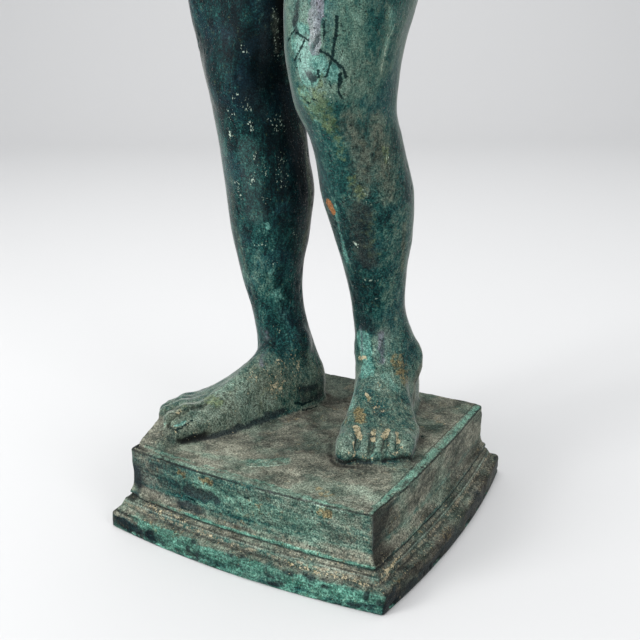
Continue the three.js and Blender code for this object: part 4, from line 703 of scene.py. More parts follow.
LINES = [   # dark or pale (small letters: by the mesh), radius, along
 ("D", 0.80, [(28.5, -26.1, 274.8), (28.5, -26.1, 269.5), (27.8, -26.9, 263.1)]),
 ("D", 0.60, [(27.8, -26.9, 263.1), (27.1, -27.6, 256.8), (25.1, -28.0, 251.3), (24.0, -28.1, 247.6)]),
 ("D", 0.60, [(21.2, -28.9, 259.6), (26.1, -27.9, 256.8)]),
 ("D", 0.75, [(26.1, -27.9, 256.8), (29.6, -26.3, 253.1), (31.2, -25.2, 251.2), (32.6, -23.7, 247.5)]),
 ("D", 0.95, [(30.3, -25.5, 248.5), (30.1, -25.2, 245.7), (29.1, -25.3, 242.9)]),
 ("D", 0.65, [(29.1, -25.3, 242.9), (28.8, -24.8, 240.0), (29.9, -22.8, 237.1)]),
 ("D", 0.61, [(12.4, -28.7, 264.2), (10.0, -28.7, 260.5), (5.8, -27.5, 254.9)]),
 ("D", 0.71, [(7.2, -27.5, 267.9), (11.1, -28.4, 266.0)]),
 ("D", 0.46, [(11.1, -28.4, 266.0), (14.7, -28.9, 264.2)]),
 ("D", 0.57, [(5.8, -27.0, 268.9), (0.8, -24.6, 264.3)]),
 ("D", 0.65, [(20.1, -29.0, 250.3), (20.1, -29.0, 247.6)]),
 ("D", 0.75, [(-61.0, -59.1, 56.1), (-56.4, -59.5, 56.0), (-55.4, -57.2, 56.5)]),
 ("D", 0.63, [(-55.4, -57.2, 56.5), (-52.6, -49.6, 59.0)]),
 ("P", 0.36, [(49.3, -5.9, 271.1), (47.1, -7.9, 264.8), (45.4, -8.5, 258.3)]),
 ("P", 0.31, [(45.4, -8.5, 258.3), (43.6, -8.9, 248.0)]),
 ("D", 0.57, [(62.0, -0.9, 58.3), (61.6, 14.7, 48.1)]),
 ("D", 0.50, [(64.5, -12.0, 57.5), (66.5, -5.2, 49.0)]),
 ("D", 0.68, [(-20.5, 9.2, 54.5), (-17.9, 14.4, 51.8), (-15.5, 22.5, 51.9)]),
 ("D", 0.56, [(-16.5, 11.9, 49.1), (-12.5, 22.2, 48.6)]),
 ("P", 0.49, [(-5.2, -63.6, 48.0), (3.2, -59.0, 48.0), (11.4, -52.0, 48.0)]),
 ("d", 0.56, [(9.6, -26.7, 237.8), (14.8, -25.9, 233.1)]),
 ("d", 0.60, [(30.3, -25.6, 271.2), (31.2, -25.2, 270.3)]),
 ("d", 0.60, [(32.1, -24.9, 269.4), (32.1, -24.8, 268.5)]),
 ("d", 0.80, [(22.1, -28.6, 247.6), (23.1, -28.4, 247.6)]),
 ("d", 0.60, [(24.9, -27.7, 245.7), (25.7, -27.3, 244.8)]),
 ("d", 0.65, [(25.7, -27.2, 243.8), (25.6, -27.1, 242.9)]),
 ("d", 0.55, [(28.0, -23.3, 235.2), (28.0, -23.3, 234.5)]),
 ("d", 0.56, [(29.9, -20.7, 233.2), (29.9, -20.7, 232.5)]),
 ("d", 0.45, [(32.5, -19.3, 235.1), (31.6, -19.7, 234.1)]),
 ("d", 0.91, [(27.7, 19.7, 126.7), (28.7, 20.1, 126.7)]),
 ("d", 0.66, [(8.7, -28.5, 255.9), (10.0, -28.8, 254.9)]),
 ("d", 0.51, [(7.2, -28.0, 254.0), (7.2, -28.0, 253.0)]),
 ("d", 0.56, [(4.4, -26.8, 262.4), (5.9, -27.5, 261.4)]),
 ("d", 0.46, [(10.0, -28.8, 257.7), (10.0, -28.8, 256.8)]),
 ("d", 0.46, [(7.1, -27.9, 252.1), (8.5, -28.3, 251.2)]),
 ("d", 0.42, [(-0.5, -22.9, 252.9), (-0.9, -22.4, 251.9)]),
 ("d", 0.41, [(0.6, -24.5, 260.5), (0.4, -24.2, 257.7)]),
 ("d", 0.50, [(22.5, -27.0, 273.1), (22.8, -27.7, 267.7), (22.1, -28.3, 264.1)]),
 ("d", 0.56, [(6.6, -25.6, 238.7), (10.4, -26.3, 235.9)]),
 ("d", 0.51, [(10.7, -24.9, 232.9), (14.0, -22.7, 228.0)]),
 ("d", 0.51, [(15.8, -27.6, 237.1), (18.7, -26.8, 235.2)]),
 ("d", 0.51, [(16.5, -25.0, 231.2), (16.9, -21.7, 226.1)]),
 ("d", 0.51, [(11.8, -28.4, 242.7), (15.3, -28.5, 240.9)]),
 ("d", 0.62, [(14.4, 18.2, 132.4), (24.0, 16.9, 132.8), (31.6, 19.1, 134.4), (39.3, 26.4, 139.4)]),
 ("p", 0.51, [(33.0, 18.7, 138.1), (39.6, 25.5, 142.0)]),
 ("d", 0.56, [(-36.3, -78.7, 29.1), (-28.0, -79.1, 26.7)]),
 ("d", 0.60, [(-30.3, -79.0, 35.7), (-19.4, -79.3, 36.3)]),
 ("d", 0.51, [(-41.6, -79.6, 22.0), (-30.2, -80.3, 21.8)]),
 ("d", 0.63, [(2.7, -79.6, 40.0), (6.4, -79.6, 39.8)]),
 ("p", 0.60, [(-75.6, -40.4, 62.0), (-72.8, -38.3, 63.0), (-70.9, -34.9, 63.4)]),
 ("p", 0.54, [(-74.9, -50.5, 60.9), (-74.0, -47.8, 62.6), (-75.6, -40.4, 62.0)]),
 ("p", 0.58, [(-67.4, -56.1, 59.7), (-65.3, -53.1, 62.7), (-62.1, -49.9, 63.3)]),
 ("p", 0.87, [(-58.9, -48.4, 63.4), (-57.7, -46.2, 64.1)]),
]

# ------------------------------------------------------------------ the figure's surface
add(Plinth(PLINTH), 0)
legs()
trunk()

def clefts():
    """Shallow clefts between the toes, let into the surface."""
    lines = []
    for F, toes, k in CLEFTS:
        for j in range(4):
            mid = []
            for (s0, t0, _, r0), (s1, t1, _, r1) in zip(toes[j], toes[j + 1]):
                mid.append((0.5 * (s0 + s1), t0 + (t1 - t0) * r0 / (r0 + r1)))
            mid.append((mid[2][0] + 3.6, mid[2][1]))
            start = 1.0 if k == 1 else (0.2 if j == 0 else 1.4)
            line = []
            for f in np.arange(start, 3.001, 0.25):
                i = min(int(f), 2); w = f - i
                s, t = [mid[i][c] + (mid[i + 1][c] - mid[i][c]) * w for c in (0, 1)]
                h = np.arange(22, 0.5, -0.2)
                q = np.array([F.at(s * k, t, v) for v in h], f4)
                inside = measure(q[:, 0:1], q[:, 1:2], q[:, 2:3])[:, 0] < 0
                if inside.any():
                    line.append(q[np.argmax(inside)] - (0, 0, 0.1 if k == 1 else 0.4 if j == 0 else -0.1))
            lines.append((line, 0.8 if k == 1 else (1.1 if j == 0 else 0.5)))
    for line, r in lines:
        for p, q in zip(line, line[1:]):
            cut(Rod(tuple(p), tuple(q), r), 1.5)

clefts()

LO, HI = (-128, -100, -4), (110, 100, 698)
VOX = 1.05
D = field(LO, HI, VOX)
# the neck ends flat
neck_n = np.array(NECK_CUT[1]) / np.linalg.norm(NECK_CUT[1])
ax = [(LO[i] + VOX * np.arange(D.shape[i])).astype(f4) for i in range(3)]
kz = int((655 - LO[2]) / VOX)
zz = ax[2][kz:]
over = ((ax[0] - NECK_CUT[0][0]) * neck_n[0])[:, None, None] + ((ax[1] - NECK_CUT[0][1]) * neck_n[1])[None, :, None] + ((zz - NECK_CUT[0][2]) * neck_n[2])[None, None, :]
D[:, :, kz:] = smax(D[:, :, kz:], over, 0.8)
V, F = skin(D, LO, VOX)
del D

def outward(V):
    g, d = gradient(V)
    e = (V - np.array(NECK_CUT[0])) @ neck_n
    top = (V[:, 2] > 655) & (e > d)
    g[top], d[top] = neck_n, e[top]
    return g, d

N, d = outward(V)
V = V - N * np.clip(d, -0.8, 0.8)[:, None]

def relief(P, N):
    """Unevenness of the casting, millimetres outwards."""
    z = P[:, 2]
    side = step(np.abs(N[:, 2]), 0.9, 0.6)
    plinth = step(z, 50.5, 48.5)
    top = plinth * step(z, 46.2, 47.6) * step(N[:, 2], 0.5, 0.8)
    leg = 1 - plinth
    foot = leg * step(z, 110, 75)
    h = leg * (0.30 * rough(P, (17, 17, 30), 1, 2) + 0.10 * rough(P, (4.5, 4.5, 8), 2, 2))
    h += foot * (0.22 * rough(P, 5.0, 3, 3))
    h += top * (0.30 * rough(P, 9.0, 4, 2) + 0.16 * rough(P, 3.4, 5, 2))
    wall = plinth * (1 - top)
    h += wall * (0.36 * rough(P, (22, 22, 9), 5, 2) + 0.14 * rough(P, (6, 6, 3), 6, 2))
    # the lowest tier: worn back and stepped near its left end, nicked along its edges
    tier = wall * step(z, 12.6, 11.4) * step(-N[:, 1], 0.4, 0.8)
    h -= tier * (1.1 * step(P[:, 0], -20, -24) * (0.7 + 0.3 * noise(P, 9, 2)) + 0.5 * step(noise(P, (7, 7, 5), 3), 0.35, 0.6))
    h -= wall * step(z, 4.5, 1.0) * 1.3 * step(noise(P, (9, 9, 9), 2), 0.15, 0.6)
    arris = wall * (step(np.abs(z - 11.6), 1.8, 0.4) + step(np.abs(z - 0.8), 2.2, 0.6) + step(np.abs(z - 20), 1.6, 0.4))
    h -= 0.55 * arris * step(noise(P, (6, 6, 4), 6), 0.25, 0.7)
    # two worn corners of the upper block
    h -= top * 2.2 * step(P[:, 0], -54, -80) * step(P[:, 1], -56, -80) * step(z, 50, 48.5)
    h -= plinth * step(N[:, 0], 0.3, 0.8) * 2.3 * step(P[:, 1], -42, -74) * step(z, 17, 22)
    # the moulding is worn flat at its left end
    h -= wall * 1.3 * step(P[:, 0], -68, -75) * step(P[:, 1], -60, -72) * (step(np.abs(z - 19.4), 2.6, 1.0) + 1.2 * step(np.abs(z - 11), 2.6, 0.8))
    # the top falls away a little along its right edge
    h -= top * 0.7 * step(P[:, 0], 71.0, 75.5)
    # ground filled in between the first two right toes
    h += 1.0 * step(np.linalg.norm(P - FILL, axis=1), 6.5, 2.0)
    # crumpled ground before the right toes
    crumple = step(z, 61, 58) * step(P[:, 1], -40, -52) * step(P[:, 0], -50, -62) * step(z, 44, 47)
    h += crumple * 0.55 * (np.abs(noise(P, (2.4, 5.5, 5.5), 9)) - 0.3)
    # casting pits
    h -= 0.45 * step(noise(P, (2.6, 2.6, 3.2), 7), 0.52, 0.74) * step(noise(P, 24, 3), -0.05, 0.35)
    return h * step(z, 0.4, 2.5)

V = V + N * relief(V, N)[:, None]
V[:, 2] = np.maximum(V[:, 2], 0)

def mesh(name, V, F, k):
    me = bpy.data.meshes.new(name)
    me.vertices.add(len(V)); me.vertices.foreach_set("co", (V * 0.001).astype(f4).ravel())
    me.loops.add(F.size); me.loops.foreach_set("vertex_index", F.astype(np.int32).ravel())
    me.polygons.add(len(F)); me.polygons.foreach_set("loop_start", np.arange(0, F.size, k, dtype=np.int32))
    me.update(calc_edges=True)
    me.validate()
    return me

LIMIT = 196000
body = bpy.data.objects.new("bronze_figure", mesh("bronze_figure", V, F, 4))
bpy.context.scene.collection.objects.link(body)
if 2 * len(F) > LIMIT:
    g = body.vertex_groups.new(name="plain")       # the trunk, smoother, needs fewer
    w = np.round(0.5 + 0.5 * step(V[:, 2], 290, 340), 1)
    for v in range(1, 11):
        g.add(np.nonzero(np.abs(w - v / 10) < 0.01)[0].tolist(), v / 10, "REPLACE")
    m = body.modifiers.new("fewer", "DECIMATE")
    m.ratio, m.use_collapse_triangulate = LIMIT / (2 * len(F)), True
    m.vertex_group, m.vertex_group_factor = "plain", 8e-5
    dg = bpy.context.evaluated_depsgraph_get()
    me = bpy.data.meshes.new_from_object(body.evaluated_get(dg))
    body.modifiers.clear()
    old, body.data = body.data, me
    bpy.data.meshes.remove(old)
me = body.data
me.name = "bronze_figure"
me.polygons.foreach_set("use_smooth", np.ones(len(me.polygons), bool))
me.update()

def read():
    P = np.empty(3 * len(me.vertices), f4); me.vertices.foreach_get("co", P)
    N = np.empty(3 * len(me.vertices), f4); me.vertex_normals.foreach_get("vector", N)
    return P.reshape(-1, 3).astype(float) * 1000, N.reshape(-1, 3).astype(float)

P, N = read()

# ------------------------------------------------------------------ where the patina lies, point by point
def along(P, pts):
    """Distance from the points P to a line through pts."""
    if len(pts) == 1:
        return np.linalg.norm(P - pts[0], axis=1)
    d = np.full(len(P), 1e9)
    for a, b in zip(pts, pts[1:]):
        ab = b - a
        t = np.clip((P - a) @ ab / max(float(ab @ ab), 1e-6), 0, 1)
        d = np.minimum(d, np.linalg.norm(P - a - t[:, None] * ab, axis=1))
    return d

def paint(P, N):
    z = P[:, 2]
    ch = {c: np.zeros(len(P)) for c in "LTOGKUVCS"}
    wob = np.stack([noise(P, 5.0, s) for s in (1, 2, 3)], 1) * 1.3 + np.stack([noise(P, 1.9, s) for s in (4, 5, 6)], 1) * 0.7
    for c, amount, r, soft, pts in MARKS:
        pts = np.array(pts, float)
        m = r + soft + 3
        s = np.nonzero(((P > pts.min(0) - m) & (P < pts.max(0) + m)).all(1))[0]
        if len(s):
            d = along(P[s] + wob[s] * min(1.0, 0.25 + 0.12 * (r + soft)), pts)
            ch[c][s] = np.maximum(ch[c][s], amount * step(d, r + soft * 0.6, r - soft * 0.6)) if amount > 0 else ch[c][s]
    # strokes, as distances from them
    dist = {c: np.full(len(P), 9.0) for c in "dp"}
    for c, r, pts in LINES:
        if c in dist:
            pts = np.array(pts, float)
            s = np.nonzero(((P > pts.min(0) - 8) & (P < pts.max(0) + 8)).all(1))[0]
            if len(s):
                dist[c][s] = np.minimum(dist[c][s], along(P[s] + 0.35 * wob[s], pts) - r)
    # hollows, for painted shade, and ridges
    Pf, Nf = P.astype(f4), N.astype(f4)
    def off(r):
        q = Pf + Nf * r
        return measure(q[:, 0:1], q[:, 1:2], q[:, 2:3])[:, 0]
    # how enclosed each point is: drives painted shade in hollows and creases
    hollow = np.clip(0.40 * np.clip(1 - off(1.6) / 1.6, 0, 1) + 0.45 * np.clip(1 - off(4.5) / 4.5, 0, 1) + 0.35 * np.clip(1 - off(13.0) / 13.0, 0, 1), 0, 1)
    hollow *= 1 - 0.75 * step(np.linalg.norm(P - FILL, axis=1), 9.0, 4.0)
    ridge = np.clip(1.1 * np.clip(1 + off(-2.2) / 2.2, 0, 1) - 0.25, 0, 1)
    # the large areas
    plinth = step(z, 50.0, 48.4)
    mound = step(z, 60, 57) * step(P[:, 1], -44, -54) * step(P[:, 0], -58, -66)
    top = plinth * step(N[:, 2], 0.55, 0.85) * step(z, 44, 47)
    top = np.maximum(top, np.where(z < 60, mound, 0) * (1 - plinth * (1 - step(N[:, 2], 0.2, 0.5))))
    wall = plinth * (1 - top)
    fig = (1 - plinth) * (1 - top)
    foot = fig * step(z, 96, 66)
    front = step(-N[:, 1], -0.15, 0.5)
    side = wall * step(N[:, 0], 0.4, 0.8)
    right = fig * step(P[:, 0] + 15, 10, -10) * step(z, 560, 340)
    big, mid = rough(P, (38, 38, 60), 2, 2), rough(P, (11, 11, 17), 5, 2)
    lift = fig * 0.30 + wall * 0.50 + top * 0.60
    lift += foot * 0.30 - right * (1 - foot) * 0.09 * step(z, 110, 160) - right * 0.06 * step(z, 225, 245) - right * 0.15 * step(z, 270, 340)
    lift += top * (0.04 * step(P[:, 1], -40, -60) - 0.20 * step(P[:, 1], -50, -30) + 0.22 * step(P[:, 0], 34, 58) + 0.07 * step(P[:, 1], -50, -62) - 0.06 * step(z, 49, 52))
    # its first term: the left leg lighter where it faces +x, partly grey-green patina and partly painted rim light
    lift += fig * 0.08 * step(N[:, 0], 0.1, 0.8) * (1 - right) * (1 - foot) + wall * (0.08 * step(P[:, 0], -30, 30) - 0.27 * step(z, 13, 11) - 0.26 * side * step(z, 16, 12) - 0.07 * side + 0.11 * step(P[:, 0], 0, 50) - 0.10 * step(P[:, 0], -10, -50))
    # the right-hand side of the moulding and the lowest tier are dingy
    east = wall * step(P[:, 0] + P[:, 1], -2, 3) * step(z, 25, 21)
    lift -= 0.15 * east
    lift += fig * (1 - right) * 0.11 * step(z, 200, 250)
    lift += 0.09 * big + 0.07 * mid
    # the right leg's inner face turns almost black: partly dark patina, partly painted shade
    inner = right * step(N[:, 0], 0.05, 0.75) * step(z, 90, 130)
    lift -= 0.06 * inner
    lift += 0.06 * fig * step(z, 200, 150) * step(z, 80, 110)
    lift += 0.9 * ch["L"] - 0.02
    bead = wall * step(np.abs(z - 19.9), 2.2, 1.0) * (1 - east)
    T = ch["T"] * (1 - 0.35 * wall) + 0.55 * bead + wall * (0.10 + 0.22 * big - 0.10 * side) - 0.3 * east + wall * 0.25 * step(z, 12.5, 11) + top * (0.05 + 0.22 * step(mid + big, 0.1, 0.9)) + fig * 0.16 * step(mid, 0.1, 0.8) + 0.45 * ridge * plinth
    G = ch["G"] + top * 1.02 + wall * 0.25 * step(-big, 0.0, 0.7) + side * 0.34 + foot * 0.40 + fig * 0.15 * step(-big, 0.2, 0.9)
    ledge = wall * step(N[:, 2], 0.25, 0.8)
    G *= 1 - 0.9 * step(ch["T"], 0.9, 1.2)
    G *= 1 - 0.5 * top * step(ch["T"], 0.25, 0.7)
    lift += 0.12 * step(ch["T"], 0.9, 1.2) - 0.07 * ledge
    # its last term: the left leg greyer where it faces +x, partly grey-green patina and partly painted rim light
    G += 0.7 * ledge + 0.55 * wall * step(np.abs(z - 23.6), 3.2, 1.6) + 0.30 * wall * step(z, 26, 30) + 0.25 * fig * (1 - foot) * step(N[:, 0], 0.35, 0.85) * (1 - right)
    # black: drips and washes, with painted shade from the marks at the feet and on the right leg's inner side
    K = ch["K"] + wall * 0.40 * step(noise(P, (13, 13, 8), 6), 0.15, 0.6) + wall * 0.50 * step(z, 13, 11) * step(noise(P, (3.6, 3.6, 2.0), 6), 0.0, 0.5) + fig * 0.25 * step(noise(P, (9, 9, 26), 4), 0.3, 0.8)
    O = ch["O"] + 0.20 * plinth * step(noise(P, 9, 3), 0.35, 0.8) + 0.16 * foot * step(noise(P, 7, 1), 0.3, 0.7)
    C = ch["C"] + 0.30 * foot * step(noise(P, 8, 2), 0.0, 0.6) + 0.20 * ledge + 0.10 * wall + 0.12 * top
    out = dict(lift=lift, turquoise=T * (1 - 0.7 * top * step(ch["T"], 0.3, 0.0)), ochre=O, grime_and_rim_light=G, black_and_shadow=K, bare=ch["U"], gloss_and_highlight=ch["V"], smooth=ch["S"], cream=C, hollow=hollow, ridge=ridge, figure=fig)
    out = {k: np.clip(v, 0, 1.5) for k, v in out.items()}
    out.update(dark=np.clip(dist["d"], -4, 4), pale=np.clip(dist["p"], -4, 4))
    return out

for name, v in paint(P, N).items():
    a = me.attributes.new(name, "FLOAT", "POINT")
    a.data.foreach_set("value", v.astype(f4))

# ------------------------------------------------------------------ patinated bronze
class Nodes:
    """Short ways to make and join shader nodes."""
    def __init__(self, tree):
        self.t = tree
    def new(self, kind, **props):
        n = self.t.nodes.new(kind)
        for k, v in props.items():
            setattr(n, k, v)
        return n
    def put(self, socket, v):
        if isinstance(v, bpy.types.NodeSocket):
            self.t.links.new(v, socket)
        elif v is not None:
            socket.default_value = (*v, 1.0) if socket.type == "RGBA" and len(v) == 3 else v
    def math(self, op, a, b=None, c=None, clamp=False):
        n = self.new("ShaderNodeMath", operation=op, use_clamp=clamp)
        for s, v in zip(n.inputs, (a, b, c)):
            self.put(s, v)
        return n.outputs[0]
    def vec(self, op, a, b=None, scale=None):
        n = self.new("ShaderNodeVectorMath", operation=op)
        self.put(n.inputs[0], a)
        if b is not None: self.put(n.inputs[1], b)
        if scale is not None: self.put(n.inputs["Scale"], scale)
        return n.outputs["Value"] if op in ("DOT_PRODUCT", "LENGTH", "DISTANCE") else n.outputs["Vector"]
    def mix(self, fac, a, b, how="MIX"):
        n = self.new("ShaderNodeMix", data_type="RGBA", blend_type=how, clamp_factor=True)
        self.put(n.inputs[0], fac); self.put(n.inputs[6], a); self.put(n.inputs[7], b)
        return n.outputs[2]
    def step(self, v, a, b, lo=0.0, hi=1.0):
        n = self.new("ShaderNodeMapRange", interpolation_type="SMOOTHSTEP", clamp=True)
        for s, x in zip(n.inputs, (v, a, b, lo, hi)):
            self.put(s, x)
        return n.outputs[0]
    def noise(self, p, size, detail=2.0, rough=0.5, stretch=None, shift=0.0, warp=0.0):
        """Noise about 0.5 at a size in millimetres."""
        s = stretch or (1, 1, 1)
        m = self.new("ShaderNodeMapping")
        self.put(m.inputs["Vector"], p)
        m.inputs["Scale"].default_value = tuple(1.0 / (size * v) for v in s)
        m.inputs["Location"].default_value = (shift, shift * 1.7, shift * 0.6)
        n = self.new("ShaderNodeTexNoise", noise_dimensions="3D")
        self.put(n.inputs["Vector"], m.outputs[0])
        n.inputs["Scale"].default_value = 1.0
        n.inputs["Detail"].default_value, n.inputs["Roughness"].default_value, n.inputs["Distortion"].default_value = detail, rough, warp
        return n.outputs["Fac"]
    def attr(self, name):
        return self.new("ShaderNodeAttribute", attribute_name=name).outputs["Fac"]

def stroke_group():
    """Distance from a line, less its radius, or the nearer line before it."""
    g = bpy.data.node_groups.new("stroke", "ShaderNodeTree")
    for n, kind in (("p", "NodeSocketVector"), ("a", "NodeSocketVector"), ("ab", "NodeSocketVector"), ("inv", "NodeSocketFloat"), ("r", "NodeSocketFloat"), ("before", "NodeSocketFloat")):
        g.interface.new_socket(n, in_out="INPUT", socket_type=kind)
    g.interface.new_socket("d", in_out="OUTPUT", socket_type="NodeSocketFloat")
    k = Nodes(g)
    i, o = k.new("NodeGroupInput"), k.new("NodeGroupOutput")
    pa = k.vec("SUBTRACT", i.outputs["p"], i.outputs["a"])
    t = k.math("MULTIPLY", k.vec("DOT_PRODUCT", pa, i.outputs["ab"]), i.outputs["inv"], clamp=True)
    q = k.vec("SCALE", i.outputs["ab"], scale=t)
    d = k.math("SUBTRACT", k.vec("DISTANCE", pa, q), i.outputs["r"])
    k.put(o.inputs["d"], k.math("MINIMUM", d, i.outputs["before"]))
    return g

STROKE = stroke_group()

def patina():
    mat = bpy.data.materials.new("patinated_bronze"); mat.use_nodes = True
    k = Nodes(mat.node_tree)
    bsdf = mat.node_tree.nodes["Principled BSDF"]
    p = k.vec("SCALE", k.new("ShaderNodeTexCoord").outputs["Object"], scale=1000.0)
    # lines
    warp = k.new("ShaderNodeTexNoise", noise_dimensions="3D")
    k.put(warp.inputs["Vector"], p)
    warp.inputs["Scale"].default_value, warp.inputs["Detail"].default_value = 0.45, 2.0
    pw = k.vec("ADD", p, k.vec("SCALE", k.vec("SUBTRACT", warp.outputs["Color"], (0.5, 0.5, 0.5)), scale=1.6))
    xyz = k.new("ShaderNodeSeparateXYZ"); k.put(xyz.inputs[0], pw)
    X, Y, Z = xyz.outputs
    dist = {"D": 9.0, "P": 9.0}
    for what, r, pts in LINES:
        if what not in dist:
            continue
        for a, b in zip(pts, pts[1:]):
            n = k.new("ShaderNodeGroup", node_tree=STROKE)
            ab = Vector(b) - Vector(a)
            for s, v in (("p", pw), ("a", a), ("ab", tuple(ab)), ("inv", 1.0 / ab.length_squared), ("r", r), ("before", dist[what])):
                k.put(n.inputs[s], v)
            dist[what] = n.outputs["d"]
    A = {n: k.attr(n) for n in ("lift", "turquoise", "ochre", "grime_and_rim_light", "black_and_shadow", "bare", "gloss_and_highlight", "cream", "hollow", "ridge", "figure", "smooth", "dark", "pale")}
    # textures, sizes in millimetres
    brush = k.noise(p, 1.2, 4, 0.62, stretch=(1, 1, 6.5), warp=0.3)           # drawn-out brush and wax marks
    brush2 = k.noise(p, 4.2, 3, 0.55, stretch=(1, 1, 3.2), shift=3.1, warp=0.6)
    fig, notfig = A["figure"], k.math("SUBTRACT", 1.0, A["figure"])
    mott = k.math("ADD", k.math("MULTIPLY", k.noise(p, 5.0, 4, 0.62, stretch=(1, 1, 1.7), shift=7.7, warp=0.7), fig),
                  k.math("MULTIPLY", k.noise(p, 10.5, 5, 0.58, stretch=(1.5, 1.5, 0.8), shift=6.1, warp=0.9), notfig))
    grain = k.noise(p, 0.85, 3, 0.65, shift=1.3)
    grain2 = k.noise(p, 1.7, 3, 0.6, shift=9.1)
    fleck = k.noise(p, 0.95, 1, 0.5, stretch=(1, 1, 1.4), shift=2.7)
    clot = k.noise(p, 2.6, 3, 0.6, shift=8.3)
    wide = k.noise(p, 24, 3, 0.55, shift=4.4)
    horiz = k.noise(p, 1.2, 4, 0.6, stretch=(12, 12, 1), shift=5.9)
    drawn = k.math("ADD", k.math("MULTIPLY", k.math("ADD", k.math("SUBTRACT", brush, 0.5), k.math("MULTIPLY", k.math("SUBTRACT", brush2, 0.5), 1.1)), k.math("MULTIPLY", fig, 0.62)),
                   k.math("MULTIPLY", k.math("SUBTRACT", horiz, 0.5), notfig))
    # base: dark teal to grey-green, calmer on the left thigh
    calm = k.math("MULTIPLY", fig, k.math("MULTIPLY", k.step(Z, 185, 235), k.step(X, -14, -4)))
    tone = k.math("ADD", A["lift"], k.math("MULTIPLY", drawn, k.math("SUBTRACT", 0.80, k.math("MULTIPLY", calm, 0.36))))
    tone = k.math("ADD", tone, k.math("MULTIPLY", k.math("SUBTRACT", mott, 0.5), k.math("SUBTRACT", k.math("ADD", 0.50, k.math("MULTIPLY", fig, 0.20)), k.math("MULTIPLY", calm, 0.20))))
    tone = k.math("ADD", tone, k.math("MULTIPLY", k.math("ADD", k.math("SUBTRACT", grain2, 0.5), k.math("SUBTRACT", grain, 0.5)), k.math("SUBTRACT", 0.55, k.math("MULTIPLY", calm, 0.22))))
    # painted shade in the hollows
    tone = k.math("SUBTRACT", tone, k.math("MULTIPLY", A["hollow"], 0.35))
    ramp = k.new("ShaderNodeValToRGB")
    k.put(ramp.inputs[0], tone)
    e = ramp.color_ramp.elements
    stops = ((0.0, (0.001, 0.006, 0.008)), (0.22, (0.003, 0.021, 0.022)), (0.42, (0.012, 0.060, 0.054)), (0.62, (0.062, 0.118, 0.092)), (0.82, (0.130, 0.195, 0.152)), (1.0, (0.25, 0.37, 0.30)))
    e[0].position, e[0].color = stops[0][0], (*stops[0][1], 1)
    e[1].position, e[1].color = stops[-1][0], (*stops[-1][1], 1)
    for q, c in stops[1:-1]:
        e.new(q).color = (*c, 1)
    col = ramp.outputs["Color"]
    def patch(amount, tex, spread, soft, lo=0.5):
        """Where amount plus some texture passes the middle."""
        v = k.math("ADD", amount, k.math("MULTIPLY", k.math("SUBTRACT", tex, 0.5), spread))
        return k.step(v, lo - soft, lo + soft)
    # turquoise bloom
    t1 = patch(A["turquoise"], mott, 1.5, 0.26, 0.46)
    tq = k.mix(k.step(k.math("ADD", grain2, k.math("MULTIPLY", drawn, 0.6)), 0.36, 0.62), k.mix(fig, (0.036, 0.120, 0.086), (0.036, 0.135, 0.112)), k.mix(fig, (0.125, 0.290, 0.220), (0.140, 0.320, 0.270)))
    col = k.mix(k.math("MULTIPLY", t1, 0.72), col, tq)
    # blue cast in the darks of the legs
    blue = k.math("MULTIPLY", k.step(wide, 0.48, 0.66), k.math("MULTIPLY", fig, 0.30))
    col = k.mix(blue, col, k.mix(0.5, col, (0.020, 0.055, 0.085)))
    # brown-grey dust and grime, also painted rim light along some edges of the legs
    g1 = patch(A["grime_and_rim_light"], k.mix(0.5, mott, clot), 1.3, 0.42, 0.5)
    gt = k.step(k.math("ADD", mott, k.math("ADD", k.math("MULTIPLY", k.math("SUBTRACT", clot, 0.5), 0.55), k.math("ADD", k.math("MULTIPLY", drawn, 0.5), k.math("MULTIPLY", k.math("SUBTRACT", grain2, 0.5), 0.6)))), 0.26, 0.72)
    gr = k.mix(fig, k.mix(gt, (0.060, 0.056, 0.044), (0.195, 0.180, 0.140)), k.mix(gt, (0.034, 0.040, 0.030), (0.120, 0.128, 0.096)))
    gr = k.mix(k.step(wide, 0.46, 0.60, 0, 0.6), gr, k.mix(gt, (0.038, 0.066, 0.050), (0.130, 0.168, 0.128)))
    gr = k.vec("SCALE", gr, scale=k.math("ADD", fig, k.math("MULTIPLY", notfig, k.math("ADD", 0.50, k.math("MULTIPLY", A["lift"], 0.85)))))
    col = k.mix(k.math("MULTIPLY", g1, 0.78), col, gr)
    # ochre
    o1 = patch(A["ochre"], clot, 2.2, 0.3, 0.52)
    olive = k.math("MULTIPLY", fig, k.math("SUBTRACT", 1.0, k.math("MULTIPLY", k.step(X, -10, 0), k.step(Z, 125, 105))))
    oc = k.mix(olive, k.mix(k.step(grain, 0.3, 0.7), (0.075, 0.055, 0.020), (0.215, 0.150, 0.060)), k.mix(k.step(mott, 0.35, 0.65), (0.046, 0.072, 0.026), (0.150, 0.190, 0.080)))
    col = k.mix(k.math("MULTIPLY", o1, k.math("SUBTRACT", 0.66, k.math("MULTIPLY", olive, 0.12))), col, oc)
    # worn ridges, brighter
    rd = k.math("MULTIPLY", patch(A["ridge"], grain2, 0.9, 0.25, 0.5), notfig)
    col = k.mix(k.math("MULTIPLY", rd, 0.6), col, (0.110, 0.300, 0.235))
    # black drips and wash, also painted shadow at the feet and down the right leg's inner side
    k1 = patch(A["black_and_shadow"], mott, 0.7, 0.3, 0.55)
    col = k.mix(k.math("MULTIPLY", k1, 0.86), col, k.mix(grain2, (0.004, 0.006, 0.008), (0.016, 0.026, 0.030)))
    # greyish glossy run, also painted highlights on the ankles, the left knee and the plinth's front arris
    v1 = patch(A["gloss_and_highlight"], brush2, 0.7, 0.2, 0.5)
    col = k.mix(k.math("MULTIPLY", v1, 0.62), col, k.mix(k.step(k.math("ADD", brush2, k.math("SUBTRACT", clot, 0.5)), 0.30, 0.72), (0.024, 0.026, 0.038), (0.128, 0.126, 0.162)))
